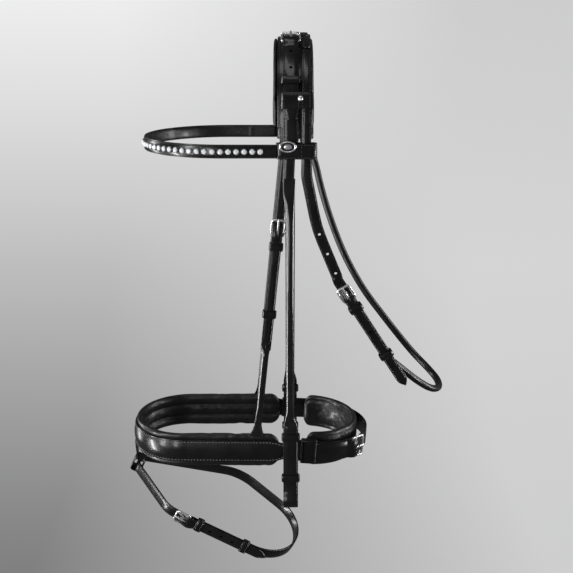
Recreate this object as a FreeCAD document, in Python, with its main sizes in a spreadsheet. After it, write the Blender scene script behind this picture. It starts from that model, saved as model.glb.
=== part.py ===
import FreeCAD, Part
import Sketcher
import math
import os

# Snaffle bridle, millimetres.  +X towards the horse's neck, -Y its left (near) side, +Z up.
# The origin is the centre of the circle that the crown makes over the poll.

V = FreeCAD.Vector
OUTWARD_LEFT = V(0, -1, 0)

SIZES = {
    # leather and its layers
    "leather": 2.2,              # thickness of a strap
    "clearance": 0.3,            # air between two layers
    # crown
    "poll_radius": 71.0,         # inside of the crown pad
    "pad_thickness": 7.4,
    "pad_cover": 1.4,            # cover of the pad, around its foam
    "crown_width": 42.0,
    "crown_leg": 5.0,            # straight end of the pad below the arch
    "cheek_width": 16.0,
    "cheek_centre": -2.5,        # X of the cheek strap on the crown
    "rear_width": 9.5,
    "rear_centre": 13.25,        # X of the throatlash branch
    "head_width": 11.0,          # noseband headstrap
    "sliphead_centre": -8.5,
    "strap_end": 41.0,           # where the hanging straps leave the crown, below the arch
    # buckles
    "bar_radius": 1.2,
    "bar_bore": 1.5,
    "eye_radius": 2.7,           # leather folded round the heel bar
    "frame_length": 16.0,
    "tongue_width": 2.6,
    # browband
    "brow_centre": -72.0,
    "brow_radius": 86.6,
    "brow_leather": 2.4,
    "brow_width": 14.0,
    "brow_level": -27.0,
    # cheekpieces
    "roll_radius": 4.4,
    "billet_width": 16.2,
    "billet_depth": 4.6,
    "bit_eye_radius": 6.7,
    "bit_bore": 4.5,
    # noseband
    "nose_centre": -121.5,
    "nose_radius": 58.0,
    "chin_centre": 26.0,
    "chin_radius": 60.0,
    "nose_width": 26.0,
    "padding_width": 39.0,
    "padding_thickness": 7.4,
    "chin_width": 25.0,
    # flash strap
    "flash_width": 13.0,
    # throatlash
    "cord_diameter": 8.0,
}

doc = FreeCAD.newDocument("snaffle_bridle")
sheet = doc.addObject("Spreadsheet::Sheet", "Sizes")
for row, (alias, number) in enumerate(SIZES.items(), start=1):
    sheet.set("A%d" % row, alias)
    sheet.set("B%d" % row, "%g" % number)
    sheet.setAlias("B%d" % row, alias)
doc.recompute()


class Size:
    """A number together with the sheet expression that it comes from."""

    def __init__(self, value, text):
        self.value = float(value)
        self.text = text

    @staticmethod
    def of(other):
        return other if isinstance(other, Size) else Size(other, "(%g)" % other)

    def combine(self, other, sign, value):
        return Size(value, "(%s %s %s)" % (self.text, sign, other.text))

    def __add__(self, other):
        other = Size.of(other)
        return self.combine(other, "+", self.value + other.value)

    def __sub__(self, other):
        other = Size.of(other)
        return self.combine(other, "-", self.value - other.value)

    def __mul__(self, other):
        other = Size.of(other)
        return self.combine(other, "*", self.value * other.value)

    def __neg__(self):
        return self * -1.0

    def __radd__(self, other):
        return Size.of(other) + self

    def __rsub__(self, other):
        return Size.of(other) - self

    __rmul__ = __mul__


def size(alias):
    return Size(SIZES[alias], "Sizes." + alias)


LEATHER = size("leather")
GAP = size("clearance")
BAR = size("bar_radius")
BAR_LEVEL = LEATHER + GAP + BAR            # height of a buckle's bars over the strap's inner face
OVER = BAR_LEVEL + size("eye_radius") + GAP  # billet where it passes over the heel bar
STACKED = LEATHER + GAP                    # billet where it lies on the strap below it
NODES = {}


# ---------------------------------------------------------------- helpers

def keep(thing, label, placement=None):
    """Name a finished sub-part and put it in its place."""
    thing.Label = label
    if placement is not None:
        thing.Placement = placement
    NODES[label] = thing
    return thing


def bind(thing, name, amount):
    """Set a property from a size, and tie it to the sheet."""
    amount = Size.of(amount)
    setattr(thing, name, amount.value)
    thing.setExpression(name, amount.text)


def box(name, x, y, z):
    """Part box between two corners, each axis given as (low, high)."""
    made = doc.addObject("Part::Box", name)
    for prop, (low, high) in zip(("Length", "Width", "Height"), (x, y, z)):
        bind(made, prop, Size.of(high) - low)
    made.Placement.Base = V(*(Size.of(low).value for low, _ in (x, y, z)))
    for axis, (low, _) in zip("xyz", (x, y, z)):
        made.setExpression(".Placement.Base." + axis, Size.of(low).text)
    return made


def cylinder(name, radius, length, base, axis):
    """Part cylinder from a base point along an axis."""
    made = doc.addObject("Part::Cylinder", name)
    bind(made, "Radius", radius)
    bind(made, "Height", length)
    made.Placement = FreeCAD.Placement(base, FreeCAD.Rotation(V(0, 0, 1), axis))
    return made


def fuse(name, *things):
    made = doc.addObject("Part::MultiFuse", name)
    made.Shapes = list(things)
    return made


def cut(name, base, *tools):
    made = doc.addObject("Part::Cut", name)
    made.Base = base
    made.Tool = tools[0] if len(tools) == 1 else fuse(name + "_tools", *tools)
    return made


def common(name, base, tool):
    made = doc.addObject("Part::Common", name)
    made.Base = base
    made.Tool = tool
    return made


def mirrored(name, source):
    """The same piece on the horse's other side."""
    made = doc.addObject("Part::Mirroring", name)
    made.Source = source
    made.Normal = V(0, 1, 0)
    return made


def several(label, *things):
    """One node of separate solids."""
    made = doc.addObject("Part::Compound", label)
    made.Links = list(things)
    return keep(made, label)


def pair(label, left):
    """One node that holds a piece and its mirror image."""
    return several(label, left, mirrored(label + "_mirror", left))


def both_sides(stem, left):
    keep(left, stem + "_left")
    return keep(mirrored(stem + "_right", left), stem + "_right")


def moved(name, placement, *things):
    """Helper solids, modelled in the frame of a strap, put in their place."""
    if len(things) > 1:
        made = fuse(name, *things)
    else:
        made = doc.addObject("Part::Compound", name)
        made.Links = list(things)
    made.Placement = placement
    return made


def body_with_sketch(name, role):
    body = doc.addObject("PartDesign::Body", name)
    sketch = body.newObject("Sketcher::SketchObject", name + "_sketch")
    plane = next(item for item in body.Origin.OriginFeatures if item.Role == role)
    sketch.AttachmentSupport = [(plane, "")]
    sketch.MapMode = "FlatFace"
    return body, sketch


def fix_point(sketch, geometry, end, x, y):
    for kind, amount in (("DistanceX", Size.of(x)), ("DistanceY", Size.of(y))):
        index = sketch.addConstraint(Sketcher.Constraint(kind, -1, 1, geometry, end, amount.value))
        sketch.setExpression("Constraints[%d]" % index, amount.text)


def fix_radius(sketch, geometry, radius):
    radius = Size.of(radius)
    index = sketch.addConstraint(Sketcher.Constraint("Radius", geometry, radius.value))
    sketch.setExpression("Constraints[%d]" % index, radius.text)


def pad(body, sketch, length):
    made = body.newObject("PartDesign::Pad", body.Name + "_pad")
    made.Profile = sketch
    made.SideType = "Symmetric"
    bind(made, "Length", length)
    return body


def polygon(name, role, points, depth):
    """Closed outline whose corners are tied to the sheet, padded to both sides of its plane."""
    body, sketch = body_with_sketch(name, role)
    points = [(Size.of(x), Size.of(y)) for x, y in points]
    corners = [V(x.value, y.value, 0) for x, y in points]
    for start, end in zip(corners, corners[1:] + corners[:1]):
        sketch.addGeometry(Part.LineSegment(start, end), False)
    for index, (x, y) in enumerate(points):
        before = index - 1 if index else len(points) - 1
        sketch.addConstraint(Sketcher.Constraint("Coincident", before, 2, index, 1))
        fix_point(sketch, index, 1, x, y)
    return pad(body, sketch, depth)


def arch(name, inner, thickness, leg, width):
    """Half ring over the X axis with straight legs, open downwards."""
    body, sketch = body_with_sketch(name, "YZ_Plane")
    inner, leg = Size.of(inner), Size.of(leg)
    outer = inner + thickness
    circle = Part.Circle(V(0, 0, 0), V(0, 0, 1), 1)
    for radius in (outer, inner):
        circle.Radius = radius.value
        arc = sketch.addGeometry(Part.ArcOfCircle(circle, 0, math.pi), False)
        sketch.addConstraint(Sketcher.Constraint("Coincident", arc, 3, -1, 1))
        fix_radius(sketch, arc, radius)
        sketch.addConstraint(Sketcher.Constraint("PointOnObject", arc, 1, -1))
        sketch.addConstraint(Sketcher.Constraint("PointOnObject", arc, 2, -1))
    for side, arc_end in ((1, 1), (-1, 2)):
        corners = [V(side * outer.value, 0, 0), V(side * outer.value, -leg.value, 0),
                   V(side * inner.value, -leg.value, 0), V(side * inner.value, 0, 0)]
        lines = [sketch.addGeometry(Part.LineSegment(a, b), False) for a, b in zip(corners, corners[1:])]
        sketch.addConstraint(Sketcher.Constraint("Coincident", lines[0], 1, 0, arc_end))
        sketch.addConstraint(Sketcher.Constraint("Coincident", lines[0], 2, lines[1], 1))
        sketch.addConstraint(Sketcher.Constraint("Coincident", lines[1], 2, lines[2], 1))
        sketch.addConstraint(Sketcher.Constraint("Coincident", lines[2], 2, 1, arc_end))
        fix_point(sketch, lines[0], 2, side * outer, -leg)
        fix_point(sketch, lines[1], 2, side * inner, -leg)
    return pad(body, sketch, width)


def belt_ring(name, front, front_radius, rear, rear_radius, thickness, width):
    """Closed band round two circles on the X axis, like a belt on two pulleys."""
    body, sketch = body_with_sketch(name, "XY_Plane")
    for grow in (Size.of(thickness), Size(0, "0")):
        one, two = Size.of(front_radius) + grow, Size.of(rear_radius) + grow
        lean = math.acos(-(two.value - one.value) / (rear.value - front.value))
        arcs = []
        for centre, radius, start, end in ((front, one, lean, 2 * math.pi - lean), (rear, two, -lean, lean)):
            circle = Part.Circle(V(centre.value, 0, 0), V(0, 0, 1), radius.value)
            arc = sketch.addGeometry(Part.ArcOfCircle(circle, start, end), False)
            fix_point(sketch, arc, 3, centre, 0)
            fix_radius(sketch, arc, radius)
            arcs.append((arc, radius, centre))
        for front_end, rear_end, side in ((1, 2, 1), (2, 1, -1)):
            ends = [V(centre.value + radius.value * math.cos(lean), side * radius.value * math.sin(lean), 0)
                    for _, radius, centre in arcs]
            line = sketch.addGeometry(Part.LineSegment(*ends), False)
            sketch.addConstraint(Sketcher.Constraint("Tangent", arcs[0][0], front_end, line, 1))
            sketch.addConstraint(Sketcher.Constraint("Tangent", arcs[1][0], rear_end, line, 2))
    return pad(body, sketch, width)


def taut_out(one, two):
    """Outward direction of the straight run between two circles of a band."""
    run = V(two[0] - one[0], two[1] - one[1], 0)
    share = (one[2] - two[2]) / run.Length
    run.normalize()
    return run * share + V(run.y, -run.x, 0) * math.sqrt(1 - share ** 2)


def taut_ring(name, circles, thickness, width):
    """Closed band stretched round circles of (x, y, radius), named anticlockwise."""
    following = circles[1:] + circles[:1]
    outs = [taut_out(one, two) for one, two in zip(circles, following)]
    solids = []
    for grow in (thickness.value, 0):
        edges = []
        for index, ((x, y, radius), (next_x, next_y, next_radius)) in enumerate(zip(circles, following)):
            centre, before, after = V(x, y, 0), outs[index - 1], outs[index]
            middle = (before + after).normalize()
            stops = [centre + out * (radius + grow) for out in (before, middle, after)]
            edges.append(Part.Arc(*stops).toShape())
            stop = V(next_x, next_y, 0) + after * (next_radius + grow)
            edges.append(Part.LineSegment(stops[2], stop).toShape())
        solids.append(Part.Face(Part.Wire(edges)).extrude(V(0, 0, width.value)))
    made = doc.addObject("Part::Feature", name)
    made.Shape = solids[0].cut(solids[1])
    made.Placement = flat(0, 0, -width.value / 2)
    return made


def frame(origin, along, outward=OUTWARD_LEFT):
    """Placement on a strap: X along it, Z away from the horse."""
    x = V(along).normalize()
    z = (outward - x * outward.dot(x)).normalize()
    return FreeCAD.Placement(origin, FreeCAD.Rotation(x, z.cross(x), z, "XZY"))


def flat(x, y, z, spin=None):
    return FreeCAD.Placement(V(x, y, z), spin or FreeCAD.Rotation())


# Pieces of a buckle, in the frame of its strap: the heel bar at x = 0, the outer bar at
# x = frame_length, the strap's inner face at z = 0.

def buckle_frame(label, strap_width):
    half = Size.of(strap_width) * 0.5 + 0.5
    length = size("frame_length")
    bars = [cylinder("%s_bar%d" % (label, n), BAR, half * 2 + 1, V(x, -half.value - 0.5, BAR_LEVEL.value),
                     V(0, 1, 0))
            for n, x in enumerate((0, length.value))]
    sides = [box("%s_side%d" % (label, n), (-1.6, length + 1.6), span, (BAR_LEVEL - 1.4, BAR_LEVEL + 1.4))
             for n, span in enumerate(((half, half + 1.8), (-half - 1.8, -half)))]
    return fuse(label, *bars, *sides)


def buckle_tongue(label):
    width = size("tongue_width")
    reach = size("frame_length")
    ring = cylinder(label + "_ring", 2.25, width, V(0, -width.value / 2, BAR_LEVEL.value), V(0, 1, 0))
    shank = polygon(label + "_shank", "XZ_Plane",
                    [(0.6, BAR_LEVEL + 0.9), (reach, BAR_LEVEL + BAR + 0.3), (reach + 1.9, BAR_LEVEL + BAR + 0.2),
                     (reach + 1.7, BAR_LEVEL + 2.7), (reach - 1, BAR_LEVEL + 3.2), (0.4, BAR_LEVEL + 2.2)], width)
    hole = cylinder(label + "_bore", size("bar_bore"), width + 2, V(0, -width.value / 2 - 1, BAR_LEVEL.value),
                    V(0, 1, 0))
    return cut(label, fuse(label + "_solid", ring, shank), hole)


def buckle(stem, strap_width, placement):
    """Buckle frame and tongue on the near side."""
    keep(buckle_frame(stem + "_buckle", strap_width), stem + "_buckle", placement)
    keep(buckle_tongue(stem + "_tongue"), stem + "_tongue", placement)


def chape_eye(name, width, slot_top=OVER + 1):
    """Leather folded round the heel bar, and what is cut out of it for the bar and the tongue."""
    half = Size.of(width) * 0.5
    eye = cylinder(name + "_eye", size("eye_radius"), width, V(0, -half.value, BAR_LEVEL.value), V(0, 1, 0))
    bore = cylinder(name + "_bore", size("bar_bore"), Size.of(width) + 2, V(0, -half.value - 1, BAR_LEVEL.value),
                    V(0, 1, 0))
    slot = box(name + "_slot", (-5, 5), (-1.8, 1.8), (-3, slot_top))
    return eye, bore, slot


def billet(name, start, tip, width, holes):
    """Strap end that dives under the outer bar, passes over the heel bar and lies on the strap below."""
    low = [(start, 0), (size("frame_length") - 0.5, 0), (2.5, OVER), (-2.5, OVER), (-8, STACKED), (tip, STACKED)]
    high = [(x, Size.of(z) + LEATHER) for x, z in reversed(low)]
    strap = polygon(name + "_strap", "XZ_Plane", low + high, width)
    punched = [box(name + "_tongue_hole", (1.5, 11), (-1.7, 1.7), (-1, OVER + 4))]
    for number, x in enumerate(holes):
        punched.append(cylinder("%s_hole%d" % (name, number), 1.7, 12, V(x, 0, -1), V(0, 0, 1)))
    return cut(name, strap, *punched)


def keeper(label, at, strap_width, placement, length=8):
    """Leather loop round the strap and the billet on it."""
    half = Size.of(strap_width) * 0.5 + 0.6
    top = STACKED + LEATHER + GAP
    solid = box(label + "_solid", (at - length / 2, at + length / 2), (-half - 1.4, half + 1.4),
                (-GAP - 1.3, top + 1.3))
    space = box(label + "_space", (at - length, at + length), (-half, half), (-GAP, top))
    return keep(cut(label, solid, space), label, placement)


# ---------------------------------------------------------------- crown

pad_inner = size("poll_radius")
sliphead_radius = pad_inner + size("pad_thickness") + GAP
crown_radius = sliphead_radius + LEATHER + GAP
cheek_radius = crown_radius + LEATHER + GAP
HEEL_ANGLE = 66.0                 # the crown buckle's heel bar, up from the side


def on_arch(angle, radius, x, side=-1):
    """Frame on the crown at an angle up from the near side; its X runs up the arch."""
    turn = math.radians(angle)
    outward = V(0, -math.cos(turn), math.sin(turn))
    along = V(0, math.sin(turn), math.cos(turn))
    return frame(outward * radius + V(x, 0, 0), along, outward)


def crown_layers():
    cover = size("pad_cover")
    solid = arch("crown_pad_solid", pad_inner, size("pad_thickness"), size("crown_leg"), size("crown_width"))
    room = arch("crown_pad_room", pad_inner + cover, size("pad_thickness") - cover * 2, size("crown_leg") - cover,
                size("crown_width") - cover * 2)
    keep(cut("crown_pad", solid, room), "crown_pad")
    foam = arch("crown_foam", pad_inner + cover + 0.2, size("pad_thickness") - cover * 2 - 0.4,
                size("crown_leg") - cover - 0.2, size("crown_width") - cover * 2 - 0.4)
    keep(foam, "crown_foam")
    keep(arch("crown_leather", crown_radius, LEATHER, size("crown_leg"), size("crown_width")), "crown_leather")
    keep(arch("sliphead", sliphead_radius, LEATHER, size("strap_end"), size("head_width")), "sliphead",
         flat(size("sliphead_centre").value, 0, 0))
    keep(arch("rear_strap", cheek_radius, LEATHER, size("strap_end"), size("rear_width")), "rear_strap",
         flat(size("rear_centre").value, 0, 0))
    over = arch("rear_overlay_arch", cheek_radius + STACKED, LEATHER, 0.5, size("rear_width") - 0.6)
    top = box("rear_overlay_top", (-20, 20), (-50, 50), (20, 120))
    keep(cut("rear_overlay", over, top), "rear_overlay", flat(size("rear_centre").value, 0, 0))


def cheek_upper():
    """Strap that the crown buckle hangs on, down to the top of the cheekpiece."""
    at_heel = on_arch(HEEL_ANGLE, cheek_radius.value, 0)
    strap = arch("cheek_arch", cheek_radius, LEATHER, 44, size("cheek_width"))
    top = box("cheek_arch_top", (-20, 20), (-34.6, 120), (-60, 120))
    narrow = box("cheek_narrow", (4, 20), (-120, 0), (-60, -18))
    eye, bore, slot = chape_eye("cheek_upper", size("cheek_width"))
    whole = fuse("cheek_upper_solid", cut("cheek_side", strap, top), moved("cheek_eye", at_heel, eye))
    left = cut("cheek_upper", whole, moved("cheek_eye_cuts", at_heel, bore, slot), narrow)
    left.Placement = flat(size("cheek_centre").value, 0, 0)
    both_sides("cheek_upper", left)


def wrapped_strap(name, path, width, placement):
    """Strap whose inner face follows a path of (point, outward) pairs."""
    inner = [point for point, _ in path]
    outer = [point + out * LEATHER.value for point, out in reversed(path)]
    made = doc.addObject("Part::Feature", name)
    made.Shape = Part.Face(Part.makePolygon(inner + outer + inner[:1])).extrude(V(0, 0, width.value))
    made.Placement = placement.multiply(flat(0, 0, -width.value / 2))
    return made


def lift(angle, heel, bar):
    """Height of a billet over the strap below, at an angle round the bend that carries the buckle."""
    stops = [(heel - 6.0, STACKED.value), (heel - 1.8, OVER.value), (heel + 1.8, OVER.value), (bar, 0.0)]
    if angle <= stops[0][0]:
        return STACKED.value
    for (low, one), (high, two) in zip(stops, stops[1:]):
        if angle <= high:
            return one + (two - one) * (angle - low) / (high - low)
    return 0.0


def crown_strap():
    """Front crown strap: both its ends are cheek billets, from tip over the poll to tip."""
    bar_angle = HEEL_ANGLE + math.degrees(math.atan(SIZES["frame_length"] / cheek_radius.value))
    path = []
    for step in range(121):
        angle = 3 + step * (180 - 2 * 3) / 120
        radius = cheek_radius.value + lift(min(angle, 180 - angle), HEEL_ANGLE, bar_angle)
        outward = V(-math.cos(math.radians(angle)), math.sin(math.radians(angle)), 0)
        path.append((outward * radius, outward))
    centre = size("cheek_centre").value
    upright = FreeCAD.Placement(V(centre, 0, 0), FreeCAD.Rotation(V(0, 1, 0), V(0, 0, 1), V(1, 0, 0), "XYZ"))
    strap = wrapped_strap("crown_strap_band", path, size("cheek_width"), upright)
    slot = box("crown_tongue_hole", (1.5, 11), (-1.7, 1.7), (-3, OVER + 4))
    tools = [moved("crown_tongue_cut", on_arch(HEEL_ANGLE, cheek_radius.value, centre), slot)]
    for number, angle in enumerate((53.5, 39.0)):
        turn = math.radians(angle)
        tools.append(cylinder("crown_hole%d" % number, 1.7, 20, V(centre, 0, 0) + V(0, -math.cos(turn),
                     math.sin(turn)) * (cheek_radius.value - 1), V(0, -math.cos(turn), math.sin(turn))))
    tools += [mirrored(tool.Name + "_mirror", tool) for tool in tools]
    keep(cut("crown_strap", strap, *tools), "crown_strap")


def crown_hardware():
    at_heel = on_arch(HEEL_ANGLE, cheek_radius.value, size("cheek_centre").value)
    for stem, made in (("crown_buckle", buckle_frame("crown_buckle", size("cheek_width"))),
                       ("crown_tongue", buckle_tongue("crown_tongue"))):
        made.Placement = at_heel
        both_sides(stem, made)
    top = STACKED + LEATHER + GAP + GAP
    small_half = size("cheek_width") * 0.5 + 0.4
    solid = box("crown_keeper_solid", (-4, 4), (-small_half - 1.4, small_half + 1.4), (0.2, top + 1.3))
    space = box("crown_keeper_space", (-5, 5), (-small_half, small_half), (-1, top))
    small = cut("crown_keeper_small", solid, space)
    small.Placement = on_arch(29.6, crown_radius.value + LEATHER.value, size("cheek_centre").value)
    # the wide keeper bridges both crown straps; w runs towards the horse's face
    at_wide = on_arch(15.6, crown_radius.value + LEATHER.value, 0)
    solid = box("wide_solid", (-8.75, 8.75), (-19.6, 12.4), (0.2, top + 1.6))
    cheek_room = box("wide_cheek_room", (-12, 12), (-6.0, 11.0), (-2, top + 0.3))
    rear_room = box("wide_rear_room", (-12, 12), (-18.3, -8.2), (-2, top + 0.3))
    wide = cut("crown_keeper_wide", solid, cheek_room, rear_room)
    wide.Placement = at_wide
    several("crown_keepers", small, wide, mirrored("small_far", small), mirrored("wide_far", wide))
    shank = cylinder("rivet_shank", 2.6, 0.8, V(2, -7.1, (top + 1.7).value), V(0, 0, 1))
    dome = doc.addObject("Part::Sphere", "rivet_dome")
    dome.Radius = 3.2
    dome.Placement.Base = V(2, -7.1, (top + 0.9).value)
    skirt = box("rivet_skirt", (-6, 8), (-14, 0), (-5, top + 1.7))
    rivet = cut("rivet", fuse("rivet_solid", shank, dome), skirt)
    rivet.Placement = at_wide
    pair("keeper_rivets", rivet)


# ---------------------------------------------------------------- browband

def browband():
    forward = FreeCAD.Placement(V(SIZES["brow_centre"], 0, SIZES["brow_level"]), FreeCAD.Rotation(V(0, 1, 0), -90))
    leg = 55
    keep(arch("browband_strap", size("brow_radius"), size("brow_leather"), leg, size("brow_width")),
         "browband_strap", forward)
    keep(arch("browband_lining", size("brow_radius") - 3.2, 2.9, leg - 2, size("brow_width") - 2),
         "browband_lining", forward)
    level = size("brow_level")
    outside = size("brow_radius") + size("brow_leather") + 0.1
    solid = box("loop_solid", (-17, 23.3), (-outside, -75), (level - 8, level + 8))
    space = box("loop_space", (-14.8, 21.1), (-outside + 2.2, -77.2), (level - 10, level + 10))
    pair("browband_loops", cut("browband_loop", solid, space))
    rim = doc.addObject("Part::Ellipse", "badge_rim")
    rim.MajorRadius = 9.0
    rim.MinorRadius = 5.75
    rim.Placement = FreeCAD.Placement(V(-5.8, -outside.value - 0.1, -22), FreeCAD.Rotation(V(1, 0, 0), 90))
    badge = doc.addObject("Part::Extrusion", "badge")
    badge.Base = rim
    badge.Dir = V(0, -1, 0)
    badge.LengthFwd = 2.4
    badge.Solid = True
    pair("badges", badge)


def along_browband(distance, radius):
    """Point and outward direction on the browband, by arc length from the middle of its front."""
    centre = SIZES["brow_centre"]
    quarter = radius * math.pi / 2
    side = 1 if distance >= 0 else -1
    if abs(distance) <= quarter:
        turn = distance / radius
        outward = V(-math.cos(turn), math.sin(turn), 0)
        return V(centre, 0, SIZES["brow_level"]) + outward * radius, outward
    return V(centre + abs(distance) - quarter, side * radius, SIZES["brow_level"]), V(0, side, 0)


def crystals():
    """Row of round crystals in metal cups along the whole front of the browband."""
    pitch, count = 8.1, 45
    face = SIZES["brow_radius"] + SIZES["brow_leather"]
    cup = Part.makeCylinder(3.7, 1.7, V(0, 0, 0.05)).cut(Part.makeCylinder(3.2, 2, V(0, 0, 0.6)))
    stone = Part.makeCylinder(3.1, 1.1, V(0, 0, 0.7)).fuse(Part.makeCone(3.1, 1.7, 1.1, V(0, 0, 1.8)))
    for label, shape in (("crystal_cups", cup), ("crystals", stone)):
        row = []
        for number in range(count):
            point, outward = along_browband((number - (count - 1) / 2) * pitch, face)
            copy = shape.copy()
            copy.Placement = FreeCAD.Placement(point, FreeCAD.Rotation(V(0, 0, 1), outward))
            row.append(copy)
        made = doc.addObject("Part::Feature", label)
        made.Shape = Part.makeCompound(row)
        keep(made, label)


# ---------------------------------------------------------------- cheekpieces

def cheekpiece():
    hang = FreeCAD.Placement(V(-4.4, -85.6, -46), FreeCAD.Rotation(V(1, 0, 0), 1.3))
    top = box("cheek_flat", (-6, 6), (-1.1, 1.1), (-26.5, -0.8))
    roll = cylinder("cheek_rolled", size("roll_radius"), 249, V(0, 0, -271), V(0, 0, 1))
    whole = fuse("cheek_roll", top, roll)
    whole.Placement = hang
    both_sides("cheek_roll", whole)
    half = size("billet_width") * 0.5
    outline = [(-4, -271.3), (4, -271.3), (2 + half, -283), (2 + half, -367), (2 - half, -367), (2 - half, -283)]
    slab = polygon("bit_slab", "XZ_Plane", outline, size("billet_depth"))
    start = V(2 - half.value, 0, -370.5)
    eye = cylinder("bit_eye", size("bit_eye_radius"), size("billet_width"), start, V(1, 0, 0))
    bore = cylinder("bit_bore", size("bit_bore"), size("billet_width") + 2, start - V(1, 0, 0), V(1, 0, 0))
    fold = cut("bit_billet", fuse("bit_fold", slab, eye), bore)
    fold.Placement = hang
    both_sides("bit_billet", fold)
    face = size("billet_depth").value / 2
    shank = cylinder("stud_shank", 1.5, 3.6, V(2, face, -306), V(0, 1, 0))
    plate = box("stud_plate", (-0.5, 4.5), (face + 3, face + 4.6), (-312, -301))
    stud = fuse("hook_stud", shank, plate)
    stud.Placement = hang
    both_sides("hook_stud", stud)
    for stem, z in (("bit_keeper_upper", -294.5), ("bit_keeper_lower", -343.0)):
        solid = box(stem + "_solid", (-8, 12), (-face - 1.8, face + 1.8), (z - 4, z + 4))
        space = box(stem + "_space", (2 - half - 0.3, 2 + half + 0.3), (-face - 0.3, face + 0.3), (z - 5, z + 5))
        loop = cut(stem, solid, space)
        loop.Placement = hang
        both_sides(stem, loop)


# ---------------------------------------------------------------- noseband

HEAD_TOP = V(-9.3, -78.6, -42.8)
HEAD_FOOT = V(-39.4, -60.3, -343)
HEAD_HEEL = 73.0                  # distance of the buckle's heel bar below the top


def head_tail(name):
    """Rolled lower part of a headstrap and the fishtail that is sewn to the noseband."""
    roll = cylinder(name + "_roll", 4.0, 85, V(-128, 0, 1.1), V(-1, 0, 0))
    tail = polygon(name + "_tail", "XY_Plane",
                   [(-210, 3.5), (-222, 4.5), (-230, 8), (-230, -8), (-222, -4.5), (-210, -3.5)], LEATHER)
    tail.Placement = flat(0, 0, LEATHER.value / 2)
    return roll, tail


def headstrap():
    up = HEAD_TOP - HEAD_FOOT
    heel = HEAD_TOP - V(up).normalize() * HEAD_HEEL
    place = frame(heel, up)
    width = size("head_width")
    strap = billet("headstrap_billet", HEAD_HEEL, -126, width, (23, 40, 56))
    keep(strap, "headstrap_billet", place)
    eye, bore, slot = chape_eye("headstrap", width)
    flat_part = box("headstrap_flat", (-129, -1), (-width * 0.5, width * 0.5), (0, LEATHER))
    roll, tail = head_tail("headstrap_left")
    lower = cut("headstrap_left", fuse("headstrap_left_solid", flat_part, eye, roll, tail), bore, slot)
    keep(lower, "headstrap_left", place)
    full = box("headstrap_full", (-129, HEAD_HEEL), (-width * 0.5, width * 0.5), (0, LEATHER))
    roll, tail = head_tail("headstrap_far")
    far = fuse("headstrap_far", full, roll, tail)
    far.Placement = place
    keep(mirrored("headstrap_right", far), "headstrap_right")
    buckle("headstrap", width, place)
    keeper("headstrap_keeper_fixed", -13, width, place)
    keeper("headstrap_keeper_sliding", -88, width, place)


NOSE_PLACE = flat(0, 0, -361.5, FreeCAD.Rotation(V(1, 0, 0), 3))
CHIN_HINGE = 14.0
CHIN_PLACE = NOSE_PLACE.multiply(flat(CHIN_HINGE, 0, 0, FreeCAD.Rotation(V(0, 1, 0), 3)))


def nose_ring(name, inset, thickness, width, end):
    """Band of the noseband whose inner face lies inset from the leather's, cut off square behind."""
    ring = belt_ring(name + "_ring", size("nose_centre"), size("nose_radius") - inset, size("chin_centre"),
                     size("chin_radius") - inset, thickness, width)
    behind = box(name + "_behind", (end, 120), (-90, 90), (-60, 60))
    return cut(name, ring, behind)


def noseband():
    keep(nose_ring("noseband_leather", 0, LEATHER, size("nose_width"), 8), "noseband_leather", NOSE_PLACE)
    thick = size("padding_thickness")
    cover = size("pad_cover")
    solid = nose_ring("padding_solid", thick + GAP, thick, size("padding_width"), -15)
    room = nose_ring("padding_room", thick + GAP - cover, thick - cover * 2, size("padding_width") - cover * 2, -16.4)
    keep(cut("noseband_padding", solid, room), "noseband_padding", NOSE_PLACE)
    foam = nose_ring("noseband_foam", thick + GAP - cover - 0.2, thick - cover * 2 - 0.4,
                     size("padding_width") - cover * 2 - 0.4, -16.6)
    keep(foam, "noseband_foam", NOSE_PLACE)


CHIN_HEEL_ANGLE = 42.0            # the chin buckle's heel bar, round from the near side


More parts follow.
